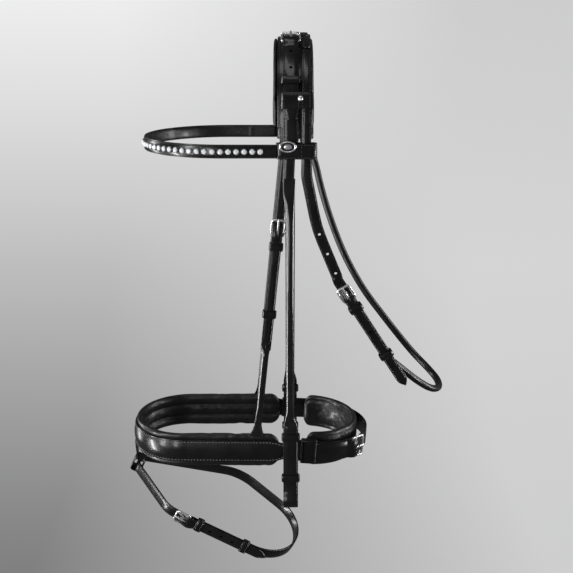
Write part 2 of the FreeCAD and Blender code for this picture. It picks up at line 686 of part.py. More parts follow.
def chin():
    inner = size("chin_radius") - LEATHER - GAP
    centre = size("chin_centre") - CHIN_HINGE
    nose = size("nose_centre") - CHIN_HINGE
    lean = math.asin((size("nose_radius") - size("chin_radius")).value / (centre - nose).value)
    rim = V(centre.value, 0, 0)

    def on_rim(angle):
        turn = math.radians(angle)
        return V(math.sin(turn), -math.cos(turn), 0)

    # chape: near leg and the bend up to the heel bar
    ring = belt_ring("chin_ring", nose, size("nose_radius") - LEATHER - GAP, centre, inner, LEATHER,
                     size("chin_width"))
    near = box("chin_near", (-26, 70), (-80, -43.8), (-40, 40))
    front = box("chin_front", (-200, -26), (-90, 90), (-40, 40))
    outward = on_rim(CHIN_HEEL_ANGLE)
    along = V(math.cos(math.radians(CHIN_HEEL_ANGLE)), math.sin(math.radians(CHIN_HEEL_ANGLE)), 0)
    local_heel = frame(rim + outward * inner.value, along, outward)
    eye, bore, slot = chape_eye("chin", size("chin_width"))
    sector = cut("chin_sector", common("chin_near_part", ring, near), front)
    chape = cut("chin_chape", fuse("chin_chape_solid", sector, moved("chin_eye", local_heel, eye)),
                moved("chin_eye_cuts", local_heel, bore, slot))
    keep(chape, "chin_chape", CHIN_PLACE)

    # billet: near leg, rear bend through the buckle, far leg
    bar_angle = CHIN_HEEL_ANGLE + math.degrees(math.atan(SIZES["frame_length"] / inner.value))
    lean_angle = math.degrees(lean)
    path = []
    for step in range(91):
        angle = lean_angle + step * (180 - 2 * lean_angle) / 90
        out = on_rim(angle)
        path.append((rim + out * (inner.value + lift(angle, CHIN_HEEL_ANGLE, bar_angle)), out))
    near_point, near_out = path[0]
    far_point, far_out = path[-1]
    spread = V(0, math.sin(lean), 0)
    forward = V(-math.cos(lean), 0, 0)
    path.insert(0, (near_point + (forward - spread) * 15, near_out))
    path.append((far_point + (forward + spread) * 38, far_out))
    strap = wrapped_strap("chin_strap_band", path, size("chin_width"), FreeCAD.Placement())
    hole = box("chin_tongue_hole", (1.5, 11), (-1.7, 1.7), (-3, OVER + 4))
    keep(cut("chin_strap", strap, moved("chin_tongue_cut", local_heel, hole)), "chin_strap", CHIN_PLACE)

    buckle("chin", size("chin_width"), CHIN_PLACE.multiply(local_heel))
    pad_arch = arch("chin_pad", size("chin_radius") - 13.6, 9, 5, 41)
    keep(pad_arch, "chin_pad", CHIN_PLACE.multiply(flat(5, 0, 0, FreeCAD.Rotation(V(0, 1, 0), 90))))
    side = on_rim(lean_angle)
    back = V(math.cos(lean), math.sin(lean), 0)
    at_keeper = frame(rim + side * inner.value - back * 7.5, back, side)
    keeper("chin_keeper", 0, size("chin_width"), CHIN_PLACE.multiply(at_keeper), 18)


# ---------------------------------------------------------------- flash strap

FLASH_PLACE = FreeCAD.Placement(V(0, 0, -487.5), FreeCAD.Rotation(V(0, 1, 0), 24.8).multiply(
    FreeCAD.Rotation(V(1, 0, 0), 18)))


FLASH_ROUND = [(-184.5, 0, 14.0), (-138.0, -28.0, 25.0), (-40.0, -14.0, 45.0), (-80.0, -2.0, 50.0)]
FLASH_HEEL = 17.6                 # the flash buckle's heel bar, behind the bend in front of it


def flash():
    width = size("flash_width")
    bend, back = FLASH_ROUND[1:3]
    out = taut_out(bend, back)
    forward = V(out.y, -out.x, 0)
    local = frame(V(bend[0], bend[1], 0) + out * bend[2] - forward * FLASH_HEEL, forward, out)
    ring = taut_ring("flash_ring", FLASH_ROUND, LEATHER, width)
    gap = box("flash_gap", (-1, 18.5), (-20, 20), (-3, 8))
    eye, bore, slot = chape_eye("flash", width, BAR_LEVEL + size("eye_radius") + 0.1)
    strap = billet("flash_billet", 20, -98, width, ())
    holes = [cylinder("flash_hole%d" % n, 1.7, 12, V(27 + 12 * n, 0, -4), V(0, 0, 1)) for n in range(2)]
    body = cut("flash_body", ring, moved("flash_gap_placed", local, gap))
    ends = moved("flash_ends", local, strap, eye)
    whole = cut("flash_strap", fuse("flash_solid", body, ends), moved("flash_cuts", local, bore, slot),
                moved("flash_holes", local, *holes))
    keep(whole, "flash_strap", FLASH_PLACE)
    place = FLASH_PLACE.multiply(local)
    buckle("flash", width, place)
    keeper("flash_keeper_fixed", -13, width, place)
    keeper("flash_keeper_sliding", -70, width, place)
    tip = FLASH_ROUND[0][0] - FLASH_ROUND[0][2] - LEATHER.value / 2
    ring = box("loop_ring", (tip - 5.5, tip + 7.2), (-7, 7), (-9.7, 9.7))
    hole = box("loop_hole", (tip - 4.0, tip + 5.7), (-9, 9), (-8.2, 8.2))
    stirrup = moved("loop_stirrup", FLASH_PLACE, cut("loop_cut", ring, hole))
    tab = box("loop_tab", (-181.5, -178.5), (-5, 5), (-395.6, -381.7))
    keep(fuse("flash_loop", stirrup, tab), "flash_loop")


# ---------------------------------------------------------------- throatlash

THROAT_HEEL = V(60.0, -68.5, -186.0)
THROAT_TIP = V(122.5, -46.0, -287.0)
THROAT_TOP = [V(11.5, -83.5, -42.8), V(24.6, -79.6, -108.0)]
CORD = [V(122, -43, -275), V(140, -37, -291), V(157, -23, -305), V(169, -2, -311), V(170, 21, -309),
        V(160, 41, -301), V(144, 53, -287), V(125, 55, -264), V(106, 59, -240), V(88, 63, -217), V(74, 67, -195),
        V(58.6, 72, -165.5), V(44.2, 76, -127.8), V(33.4, 79.5, -92.8), V(26.9, 82.5, -63.8), V(20.5, 84.3, -45)]


def cord_tube(route, radius):
    """Straight runs joined by tangent arcs, each as large as its two runs allow."""
    edges = []
    start = route[0]
    for before, corner, after in zip(route, route[1:], route[2:]):
        come, go = corner - before, after - corner
        turn = come.getAngle(go)
        back = 0.45 * min(come.Length, go.Length)
        bend = back / math.tan(turn / 2)
        one = corner - V(come).normalize() * back
        two = corner + V(go).normalize() * back
        middle = (V(go).normalize() - V(come).normalize()).normalize()
        halfway = corner + middle * (bend / math.cos(turn / 2) - bend)
        print("cord bend radius %.1f mm, turn %.0f degrees" % (bend, math.degrees(turn)))
        edges += [Part.LineSegment(start, one).toShape(), Part.Arc(one, halfway, two).toShape()]
        start = two
    edges.append(Part.LineSegment(start, route[-1]).toShape())
    path = Part.Wire(edges)
    section = Part.Wire(Part.Circle(route[0], route[1] - route[0], radius).toShape())
    tube = path.makePipeShell([section], True, False)
    ratio = tube.Volume / (math.pi * radius ** 2 * path.Length)
    print("cord length %.1f mm, volume ratio %.4f" % (path.Length, ratio))
    return tube


def throatlash():
    width = size("head_width") + 0.5
    along = THROAT_HEEL - THROAT_TIP
    place = frame(THROAT_HEEL, along)
    lower = moved("throat_lower", place, billet("throat_billet", 21, -125, width, ()))
    joint = place.multVec(V(20, 0, 0))
    parts = [lower]
    for number, (low, high) in enumerate(((joint, THROAT_TOP[1]), (THROAT_TOP[1], THROAT_TOP[0]))):
        run = high - low
        strip = box("throat_run%d" % number, (-1, run.Length), (-width * 0.5, width * 0.5), (0, LEATHER))
        parts.append(moved("throat_upper%d" % number, frame(low, run), strip))
    holes = []
    for number, share in enumerate((0.2, 0.55, 0.9)):
        place_of = joint + (THROAT_TOP[1] - joint) * share + V(0, 6, 0)
        holes.append(cylinder("throat_hole%d" % number, 1.7, 12, place_of, V(0, -1, 0)))
    keep(cut("throat_strap", fuse("throat_solid", *parts), *holes), "throat_strap")
    eye, bore, slot = chape_eye("throat", width)
    base = box("throat_flat", (-89, -1), (-width * 0.5, width * 0.5), (0, LEATHER))
    keep(cut("throat_chape", fuse("throat_chape_solid", base, eye), bore, slot), "throat_chape", place)
    buckle("throat", width, place)
    keeper("throat_keeper_fixed", -13, width, place)
    keeper("throat_keeper_sliding", -80, width, place)
    start = place.multVec(V(-89.2, 0, -2.2))
    roll = doc.addObject("Part::Feature", "throat_roll")
    roll.Shape = cord_tube([start] + CORD, SIZES["cord_diameter"] / 2)
    keep(roll, "throat_roll")


for build in (crown_layers, cheek_upper, crown_strap, crown_hardware, browband, crystals, cheekpiece, headstrap,
              noseband, chin, flash, throatlash):
    build()
doc.recompute()

for item in doc.Objects:
    if "Invalid" in item.State or "Error" in item.State:
        raise RuntimeError("%s is %s" % (item.Label, item.State))
os.makedirs("parts", exist_ok=True)
for label, thing in NODES.items():
    shape = thing.Shape
    if shape.isNull() or not shape.isValid():
        raise RuntimeError(label + " has no valid shape")
for label, thing in NODES.items():
    thing.Shape.exportStep(os.path.join("parts", label + ".step"))
print(len(NODES), "nodes written")
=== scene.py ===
import math
import random

import bmesh
import bpy
import numpy as np
from mathutils import Matrix


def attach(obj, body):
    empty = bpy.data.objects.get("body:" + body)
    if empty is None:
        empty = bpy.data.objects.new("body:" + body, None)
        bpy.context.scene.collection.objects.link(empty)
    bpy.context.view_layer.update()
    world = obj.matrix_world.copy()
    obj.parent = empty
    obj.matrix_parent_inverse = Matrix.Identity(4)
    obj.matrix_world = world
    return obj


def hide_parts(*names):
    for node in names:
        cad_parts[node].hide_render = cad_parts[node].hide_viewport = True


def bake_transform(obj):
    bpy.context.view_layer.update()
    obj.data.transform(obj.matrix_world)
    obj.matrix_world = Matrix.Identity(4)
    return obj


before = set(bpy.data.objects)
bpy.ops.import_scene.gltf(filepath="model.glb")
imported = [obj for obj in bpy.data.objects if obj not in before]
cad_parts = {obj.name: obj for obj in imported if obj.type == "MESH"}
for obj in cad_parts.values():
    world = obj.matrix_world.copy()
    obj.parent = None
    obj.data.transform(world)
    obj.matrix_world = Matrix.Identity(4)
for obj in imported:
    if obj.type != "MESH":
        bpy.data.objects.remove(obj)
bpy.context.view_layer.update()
draw = random.Random(11)

MM = 0.001
LEATHER = 2.2
STACKED = 2.5            # level of a strap that lies on another
OVER = 6.7               # level of a billet over the heel bar
BAR = 3.7                # level of the buckle's bars
FRAME_LENGTH = 16.0      # heel bar to outer bar
BAR_SPARE = 1.4          # length of a bar beyond the strap's edge
FIXED_KEEPER = -13       # sewn keeper, from the heel bar
FLEX = (0, 0, -0.026), (0, 0, -0.062)        # where leather starts and ends its bend below the browband
CHEEK_FLEX = (0, 0, -0.024), (0, 0, -0.064)


# ---------------------------------------------------------------- frames and tracks, millimetres

def unit(v):
    v = np.asarray(v, float)
    return v / np.linalg.norm(v, axis=-1, keepdims=True)


class Frame:
    """Placement with rows x (along a strap), y (across it) and z (away from the horse)."""

    def __init__(self, origin, axes):
        self.o = np.array(origin, float)
        self.a = np.array(axes, float)

    def put(self, points):
        return np.asarray(points, float) @ self.a + self.o

    def turn(self, vectors):
        return np.asarray(vectors, float) @ self.a

    def within(self, outer):
        return Frame(outer.put(self.o), self.a @ outer.a)


def on_strap(origin, along, outward=(0, -1, 0)):
    x = unit(along)
    z = unit(np.array(outward, float) - x * np.dot(outward, x))
    return Frame(origin, [x, np.cross(z, x), z])


def tilted(origin, axis, degrees):
    c, s = math.cos(math.radians(degrees)), math.sin(math.radians(degrees))
    rows = {"X": [(1, 0, 0), (0, c, s), (0, -s, c)], "Y": [(c, 0, -s), (0, 1, 0), (s, 0, c)]}[axis]
    return Frame(origin, rows)


class Track:
    """Line of a strap's inner face, with the directions away from the horse."""

    def __init__(self, points, outward, rounds=0, place=None, closed=False):
        p = np.array(points, float)
        n = np.array(outward, float)
        if n.ndim == 1:
            n = np.tile(n, (len(p), 1))
        for _ in range(rounds):
            p, n = self.cut_corners(p), self.cut_corners(n)
        if closed:
            p, n = np.vstack([p, p[:1]]), np.vstack([n, n[:1]])
        if place is not None:
            p, n = place.put(p), place.turn(n)
        self.p, self.n, self.closed = p, n, closed
        self.s = np.concatenate([[0], np.cumsum(np.linalg.norm(np.diff(p, axis=0), axis=1))])
        self.length = self.s[-1]

    @staticmethod
    def cut_corners(a):
        low, high = a[:-1] * 0.75 + a[1:] * 0.25, a[:-1] * 0.25 + a[1:] * 0.75
        inner = np.stack([low, high], axis=1).reshape(-1, a.shape[1])
        return np.vstack([a[:1], inner[1:-1], a[-1:]])

    def point(self, s):
        s = np.asarray(s, float)
        if self.closed:
            s = np.mod(s, self.length)
        return np.stack([np.interp(s, self.s, self.p[:, k]) for k in range(3)], axis=-1)

    def at(self, s, reach=0.8):
        """Point, direction along, across and outward at distances s."""
        s = np.atleast_1d(np.asarray(s, float))
        t = unit(self.point(s + reach if self.closed else np.minimum(s + reach, self.length))
                 - self.point(s - reach if self.closed else np.maximum(s - reach, 0)))
        where = np.mod(s, self.length) if self.closed else s
        n = np.stack([np.interp(where, self.s, self.n[:, k]) for k in range(3)], axis=-1)
        n = unit(n - t * np.sum(n * t, axis=1, keepdims=True))
        return self.point(s), t, np.cross(n, t), n

    def near(self, point):
        """Distance along of the place nearest to a point."""
        s = np.linspace(0, self.length, 1200)
        return s[np.argmin(np.linalg.norm(self.point(s) - np.asarray(point, float), axis=1))]


class Geo:
    """Vertices and faces, gathered before they become an object."""

    def __init__(self, v=(), f=()):
        self.v = np.array(v, float).reshape(-1, 3)
        self.f = list(f)

    def placed(self, place):
        return Geo(place.put(self.v), self.f)

    def far(self):
        return Geo(self.v * (1, -1, 1), self.f)


def total(geos):
    """One Geo of many, in one pass."""
    verts, faces, k = [], [], 0
    for g in geos:
        verts.append(g.v)
        faces += [tuple(i + k for i in q) for q in g.f]
        k += len(g.v)
    return Geo(np.vstack(verts), faces)


def both(geo):
    """A near-side Geo with its copy on the far side."""
    return total([geo, geo.far()])


def wrap(one, two, count):
    """Faces between two rings of count vertices, from their first indices."""
    return [(one + j, one + (j + 1) % count, two + (j + 1) % count, two + j) for j in range(count)]


def mirrored(side):
    """Section points on the other side, in the opposite order."""
    return [(-b, *others) for b, *others in reversed(side)]


def sweep(track, stations, section, closed=False):
    """Skin over section(s) loops of (across, outward), put at the stations of a track."""
    p, _, b, n = track.at(stations)
    loops = np.array([section(s) for s in stations])
    rows = p[:, None] + b[:, None] * loops[:, :, :1] + n[:, None] * loops[:, :, 1:]
    m, k = rows.shape[:2]
    faces = []
    for i in range(m if closed else m - 1):
        faces += wrap(i * k, (i + 1) % m * k, k)
    if not closed:
        faces += [tuple(reversed(range(k))), tuple(range((m - 1) * k, m * k))]
    return Geo(rows.reshape(-1, 3), faces)


def around(track, count, section):
    """Skin over sections spaced evenly round a closed track."""
    return sweep(track, np.arange(count) * track.length / count, section, closed=True)


def value(x, s):
    return x(s) if callable(x) else x


def flat_section(half, thick, low=0.0, crown=0.12, crease=True):
    """Strap section with rounded edges, a slight crown and a creased line along each edge."""
    k = min(1.0, half / 3.2)
    top = low + thick
    right = [(half - 0.55 * k, low), (half - 0.12 * k, low + 0.22), (half, low + 0.65), (half, top - 0.75),
             (half - 0.12 * k, top - 0.32), (half - 0.5 * k, top - 0.05)]
    if crease:
        right += [(half - 1.15 * k, top), (half - 1.45 * k, top - 0.24), (half - 1.8 * k, top)]
    right += [(half * 0.3, top + crown * 0.85)]
    return right + [(0, top + crown)] + mirrored(right)


def tip_width(d, half, kind):
    """Half width at distance d from a strap end."""
    if kind == "square":
        r = 1.3
        return half if d >= r else half - r + math.sqrt(r * r - (r - d) ** 2)
    if kind == "round":
        return half if d >= half else max(0.3, math.sqrt(half * half - (half - d) ** 2))
    if kind == "point":
        reach = half * 1.75
        return half if d >= reach else max(0.35, half * (1 - (1 - d / reach) ** 1.75))
    if kind == "skive":
        return half
    raise ValueError(kind)


def end_steps(half, kind):
    reach = {"square": 1.3, "round": half, "point": half * 1.75, "skive": 1.0}[kind]
    return [reach * k for k in (0, 0.04, 0.12, 0.25, 0.42, 0.65, 0.85, 1.0)]


def stations(length_from, length_to, step, half=6.0, ends=("square", "square")):
    inner = np.linspace(length_from, length_to, max(3, int(round((length_to - length_from) / step)) + 1))
    one = [length_from + d for d in end_steps(half, ends[0])]
    two = [length_to - d for d in end_steps(half, ends[1])]
    inner = [s for s in inner if one[-1] + 0.4 < s < two[-1] - 0.4]
    return np.array(one + inner + two[::-1])


def strap(track, half, thick=LEATHER, low=0.0, span=(0, None), ends=("square", "square"), step=2.5,
          crown=0.12, centre=0.0, crease=True):
    start, stop = span[0], track.length if span[1] is None else span[1]
    widest = value(half, (start + stop) / 2)

    def pared(d, kind):
        return min(1.0, 0.15 + d / 6) if kind == "skive" else 1.0

    def section(s):
        full, under = value(half, s), value(low, s)
        width = min(tip_width(s - start, full, ends[0]), tip_width(stop - s, full, ends[1]))
        loop = np.array(flat_section(width, thick, under, value(crown, s), crease))
        loop[:, 1] = under + (loop[:, 1] - under) * pared(s - start, ends[0]) * pared(stop - s, ends[1])
        loop[:, 0] += value(centre, s)
        return loop
    return sweep(track, stations(start, stop, step, widest, ends), section)


def oval_section(half, tall, power=2, centre=0, middle=0.0, count=32):
    """Superellipse: power 2 is round, 8 nearly a flat strap."""
    angles = np.arange(count) * 2 * math.pi / count + math.pi / count
    c, s = np.cos(angles), np.sin(angles)
    return np.stack([middle + half * np.sign(c) * np.abs(c) ** (2 / power),
                     centre + tall * np.sign(s) * np.abs(s) ** (2 / power)], axis=1)


def rolled(track, keys, step=3.0):
    """Strap that changes between flat and round: keys are (distance, half, tall, power, centre, middle)."""
    keys = np.array(keys, float)
    start, stop = keys[0, 0], keys[-1, 0]

    def section(s):
        return oval_section(*(np.interp(s, keys[:, 0], keys[:, k]) for k in range(1, 6)))
    return sweep(track, np.linspace(start, stop, int((stop - start) / step) + 2), section)


def stitches(track, across, level, span, pitch=3.3, length=2.3, radius=0.34):
    """Row of thread stitches that dip into the leather at both ends."""
    count = max(1, int((span[1] - span[0]) / pitch))
    middles = span[0] + (np.arange(count) + 0.5) * (span[1] - span[0]) / count
    p, t, b, n = track.at(middles, 1.5)
    across = np.array([value(across, s) for s in middles])
    base = p + b * across[:, None] + n * level
    ring = np.arange(6) * math.pi / 3
    verts, faces = [], []
    rows = ((-0.5, -0.5, 0.55), (-0.36, 0.1, 0.95), (0, 0.32, 1.0), (0.36, 0.1, 0.95), (0.5, -0.5, 0.55))
    for along, lift, fat in rows:
        for a in ring:
            verts.append(base + t * along * length + b * math.cos(a) * radius * fat
                         + n * (lift * radius + math.sin(a) * radius * fat * 0.8))
    verts = np.stack(verts, axis=1).reshape(-1, 3)
    k = len(rows) * 6
    for first in range(0, count * k, k):
        for row in range(first, first + k - 6, 6):
            faces += wrap(row, row + 6, 6)
        faces += [tuple(reversed(range(first, first + 6))), tuple(range(first + k - 6, first + k))]
    return Geo(verts, faces)


def row_pair(track, across, level, start, stop, *size):
    """Rows of stitches on both sides of a track's middle; a stop below zero is counted from its end."""
    span = (start, stop if stop > 0 else track.length + stop)
    return total([stitches(track, lambda s: sign * value(across, s), level, span, *size)
                  for sign in (-1, 1)])


def straight_row(one, two, outward, level, pitch=3.3, place=None):
    """Row of stitches from one point to another."""
    run = Track([one, two], outward, place=place)
    return stitches(run, 0, level, (0, run.length), pitch)


def rounded_loop(half_x, half_y, radius, centre=(0, 0), count=6):
    """Points and outward directions of a rounded rectangle."""
    points, outs = [], []
    for quarter, (sx, sy) in enumerate(((1, 1), (-1, 1), (-1, -1), (1, -1))):
        for k in range(count + 1):
            a = math.pi / 2 * (quarter + k / count)
            out = (math.cos(a), math.sin(a))
            points.append((centre[0] + sx * (half_x - radius) + radius * out[0],
                           centre[1] + sy * (half_y - radius) + radius * out[1]))
            outs.append(out)
    return points, outs


def band(half_x, half_y, radius, centre, plane, half_width, thick, step=1.2, crown=0.1):
    """Closed leather band round a rounded rectangle; plane names the two axes of the rectangle."""
    points, outs = rounded_loop(half_x, half_y, radius, centre)
    index = ["xyz".index(c) for c in plane]
    p, n = np.zeros((len(points), 3)), np.zeros((len(points), 3))
    p[:, index], n[:, index] = points, outs
    track = Track(p, n, closed=True)
    return around(track, max(24, int(track.length / step)), lambda _: flat_section(half_width, thick, 0, crown))


def turned(profile, count=24):
    """Surface of revolution about z: profile is (radius, z) from top to bottom."""
    verts, faces = [], []
    for r, z in profile:
        verts += [(r * math.cos(a), r * math.sin(a), z) for a in np.arange(count) * 2 * math.pi / count]
    last = (len(profile) - 1) * count
    for first in range(0, last, count):
        faces += wrap(first, first + count, count)
    return Geo(verts, faces + [tuple(range(count)), tuple(reversed(range(last, last + count)))])


# ---------------------------------------------------------------- objects

def shade(mesh, smooth=38):
    if smooth:
        mesh.shade_smooth()
        mesh.set_sharp_from_angle(angle=math.radians(smooth))
    else:
        mesh.shade_flat()


def linked(name, data):
    """New object in the scene."""
    obj = bpy.data.objects.new(name, data)
    bpy.context.scene.collection.objects.link(obj)
    return obj


def bare(name, geo, smooth=38):
    mesh = bpy.data.meshes.new(name)
    mesh.from_pydata((geo.v * MM).tolist(), [], geo.f)
    work = bmesh.new()
    work.from_mesh(mesh)
    bmesh.ops.recalc_face_normals(work, faces=work.faces)
    work.to_mesh(mesh)
    work.free()
    shade(mesh, smooth)
    return linked(name, mesh)


def finished(obj, material, body, *nodes):
    """Gives an object its material and hides the CAD nodes it stands for; a body given by name becomes its parent,
    while an object given several bodies only has its placement baked into its mesh.
    """
    obj.data.materials.clear()
    obj.data.materials.append(MATERIALS[material][0])
    if nodes:
        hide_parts(*nodes)
    if isinstance(body, str):
        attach(obj, body)
    elif body:
        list(body)
        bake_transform(obj)
    return obj


def make(name, geo, material, body, *nodes, smooth=38, holes=()):
    obj = bare(name, geo, smooth)
    if holes:
        punch(obj, total(holes))
    return finished(obj, material, body, *nodes)


def bake(obj):
    """Applies the object's modifiers."""
    ready = obj.evaluated_get(bpy.context.evaluated_depsgraph_get())
    mesh = bpy.data.meshes.new_from_object(ready)
    obj.modifiers.clear()
    obj.data = mesh


def punch(obj, cutters):
    """Cuts holes out of a strap."""
    tool = bare(obj.name + "_tool", cutters)
    cut = obj.modifiers.new("cut", "BOOLEAN")
    cut.object = tool
    cut.solver = "EXACT"
    bake(obj)
    bpy.data.objects.remove(tool)
    shade(obj.data)


def hole(place, u, v=0.0, radius=1.6, deep=(-3, 12), long=0.0):
    """Cutter for a punched hole, or a slot when it is long."""
    count = 16
    ring = [(u + math.copysign(long / 2, math.cos(a)) + radius * math.cos(a), v + radius * math.sin(a))
            for a in np.arange(count) * 2 * math.pi / count + 0.01]
    verts = [(x, y, z) for z in deep for x, y in ring]
    ends = [tuple(reversed(range(count))), tuple(range(count, 2 * count))]
    return Geo(verts, wrap(0, count, count) + ends).placed(place)


def slot(place):
    """Cutter for the slot that a tongue passes through."""
    return hole(place, 5.6, long=8.0)


def pad(obj, pinned, cap, stretch):
    """Swells a padded piece with Blender's cloth; vertices whose pinned weight is 1 stay."""
    frames = 20
    rest = np.array([v.co for v in obj.data.vertices], float)
    group = obj.vertex_groups.new(name="pinned")
    for index, weight in enumerate(pinned):
        if weight > 0:
            group.add([index], float(weight), "REPLACE")
    cloth = obj.modifiers.new("cloth", "CLOTH")
    for key, setting in {"vertex_group_mass": "pinned", "quality": 5, "mass": 0.15, "tension_stiffness": 12,
                         "compression_stiffness": 12, "shear_stiffness": 5, "bending_stiffness": 0.4,
                         "shrink_min": stretch, "use_pressure": True,
                         "uniform_pressure_force": 4}.items():
        setattr(cloth.settings, key, setting)
    cloth.settings.effector_weights.gravity = 0
    cloth.collision_settings.use_collision = False
    cloth.point_cache.frame_start = 1
    cloth.point_cache.frame_end = frames
    scene = bpy.context.scene
    for number in range(1, frames + 1):
        scene.frame_set(number)
    ready = obj.evaluated_get(bpy.context.evaluated_depsgraph_get())
    shift = np.array([v.co for v in ready.data.vertices], float) - rest
    obj.modifiers.clear()
    scene.frame_set(1)
    far = np.linalg.norm(shift, axis=1, keepdims=True)
    limit = cap * MM
    shift *= np.where(far > 1e-9, limit * np.tanh(far / limit) / np.maximum(far, 1e-9), 0)
    obj.data.vertices.foreach_set("co", (rest + shift).astype(np.float32).ravel())
    obj.vertex_groups.clear()
    soft = obj.modifiers.new("soft", "SUBSURF")
    soft.levels = soft.render_levels = 1
    bake(obj)
    obj.data.shade_smooth()


# ---------------------------------------------------------------- materials

def feed(tree, node, inputs):
    """Links sockets to a node's inputs, or sets the inputs' values."""
    for key, source in dict(inputs).items():
        if isinstance(source, bpy.types.NodeSocket):
            tree.links.new(source, node.inputs[key])
        else:
            node.inputs[key].default_value = source


def add(tree, kind, inputs=(), **settings):
    node = tree.nodes.new(kind)
    for key, setting in settings.items():
        setattr(node, key, setting)
    feed(tree, node, inputs)
    return node


def shader(name):
    """New material, with its tree, its shader and the object coordinates."""
    material = bpy.data.materials.new(name)
    material.use_nodes = True
    tree = material.node_tree
    tree.nodes.clear()
    body = add(tree, "ShaderNodeBsdfPrincipled")
    add(tree, "ShaderNodeOutputMaterial", {0: body.outputs[0]})
    return material, tree, body, add(tree, "ShaderNodeTexCoord").outputs["Object"]


def noise(tree, where, scale, detail, distortion=0.0):
    inputs = {"Vector": where, "Scale": scale, "Detail": detail, "Distortion": distortion}
    return add(tree, "ShaderNodeTexNoise", inputs).outputs["Fac"]


def ramp(tree, factor, *colours, stops=(0, 1)):
    """Colour that runs through colours at the stops of a factor."""
    node = add(tree, "ShaderNodeValToRGB", {"Fac": factor})
    for stop in stops[1:-1]:
        node.color_ramp.elements.new(stop)
    for element, stop, colour in zip(node.color_ramp.elements, stops, colours):
        element.position, element.color = stop, (*colour, 1)
    return node.outputs["Color"]


def spread(tree, source, low, high, between=(0.3, 0.7)):
    """Value from low to high while the source runs between two values."""
    inputs = {"Value": source, "From Min": between[0], "From Max": between[1], "To Min": low, "To Max": high}
    return add(tree, "ShaderNodeMapRange", inputs).outputs["Result"]


def bump(tree, height, strength, distance, **more):
    inputs = {"Height": height, "Strength": strength, "Distance": distance, **more}
    return add(tree, "ShaderNodeBump", inputs).outputs["Normal"]


def leather(name, dark, light, rough, grain, depth, coat=0.0, coat_rough=0.1, creases=0.0, specular=0.5):
    """Dyed leather: pebbled grain, uneven dye, and gloss that varies with handling."""
    material, tree, body, where = shader(name)
    cloud = noise(tree, where, 55.0, 4.0)
    pebble = add(tree, "ShaderNodeTexVoronoi", {"Vector": where, "Scale": grain}).outputs["Distance"]
    heights = {0: pebble, 1: noise(tree, where, grain * 2.3, 3.0)}
    normal = bump(tree, add(tree, "ShaderNodeMath", heights, operation="ADD").outputs[0], depth, 0.0003)
    if creases:
        normal = bump(tree, noise(tree, where, 190.0, 2.0, 0.8), creases, 0.0012, Normal=normal)
    feed(tree, body, {"Base Color": ramp(tree, cloud, dark, light, stops=(0.35, 0.7)), "Normal": normal,
                      "Roughness": spread(tree, cloud, rough - 0.02, rough + 0.03), "Coat Weight": coat,
                      "Coat Roughness": coat_rough, "Specular IOR Level": specular})
    return material


def metal(name, colour, rough):
    """Polished metal with fine scratches and a smeared gloss."""
    material, tree, body, where = shader(name)
    smear = noise(tree, where, 160.0, 3.0)
    line = add(tree, "ShaderNodeMapping", {"Vector": where, "Scale": (900.0, 5000.0, 1500.0)})
    scratch = noise(tree, line.outputs["Vector"], 1.0, 2.0)
    feed(tree, body, {"Base Color": ramp(tree, smear, [c * 0.93 for c in colour], colour), "Metallic": 0.78,
                      "Roughness": spread(tree, smear, rough * 0.7, rough * 1.5),
                      "Normal": bump(tree, scratch, 0.04, 0.0001)})
    return material


def gem(name):
    material, tree, body, where = shader(name)
    tint = ramp(tree, noise(tree, where, 260.0, 1.0), (0.86, 0.9, 0.95), (1, 1, 1))
    feed(tree, body, {"Base Color": tint, "Transmission Weight": 0.2, "IOR": 1.6, "Roughness": 0.02})
    return material


def thread(name, colour):
    """Twisted waxed thread."""
    material, tree, body, where = shader(name)
    twist = add(tree, "ShaderNodeTexWave", {"Vector": where, "Scale": 900.0, "Distortion": 2.0},
                bands_direction="DIAGONAL").outputs["Fac"]
    feed(tree, body, {"Base Color": ramp(tree, twist, [c * 0.6 for c in colour], colour),
                      "Normal": bump(tree, twist, 0.4, 0.0001), "Roughness": 0.7,
                      "Specular IOR Level": 0.25})
    return material


def backdrop(name, left, right):
    """Paper that glows with painted light: its brightness rises from the floor to the top of the wall, faster on
    the left, as a painted fall-off of light.
    """
    material, tree, body, where = shader(name)
    place = add(tree, "ShaderNodeSeparateXYZ", {0: where}).outputs
    painted_light_height = add(tree, "ShaderNodeMath", {0: place["Y"], 1: 0.5, 2: place["Z"]}, operation="MULTIPLY_ADD")
    share = spread(tree, painted_light_height.outputs[0], 0, 1, (-0.6, 1.2))
    mix = {"Fac": spread(tree, place["X"], 0, 1, (-0.5, 0.5))}
    for socket, levels in (("Color1", left), ("Color2", right)):
        mix[socket] = ramp(tree, share, *[(v, v, v * 1.01) for v in levels], stops=(0, 0.5, 1))
    # Painted light: the gradient is emitted, so the paper glows with it instead of being lit by the lamps.
    feed(tree, body, {"Emission Color": add(tree, "ShaderNodeMixRGB", mix).outputs["Color"],
                      "Emission Strength": 1.0, "Base Color": (0.03, 0.03, 0.03, 1), "Roughness": 0.9,
                      "Specular IOR Level": 0.0})
    return material


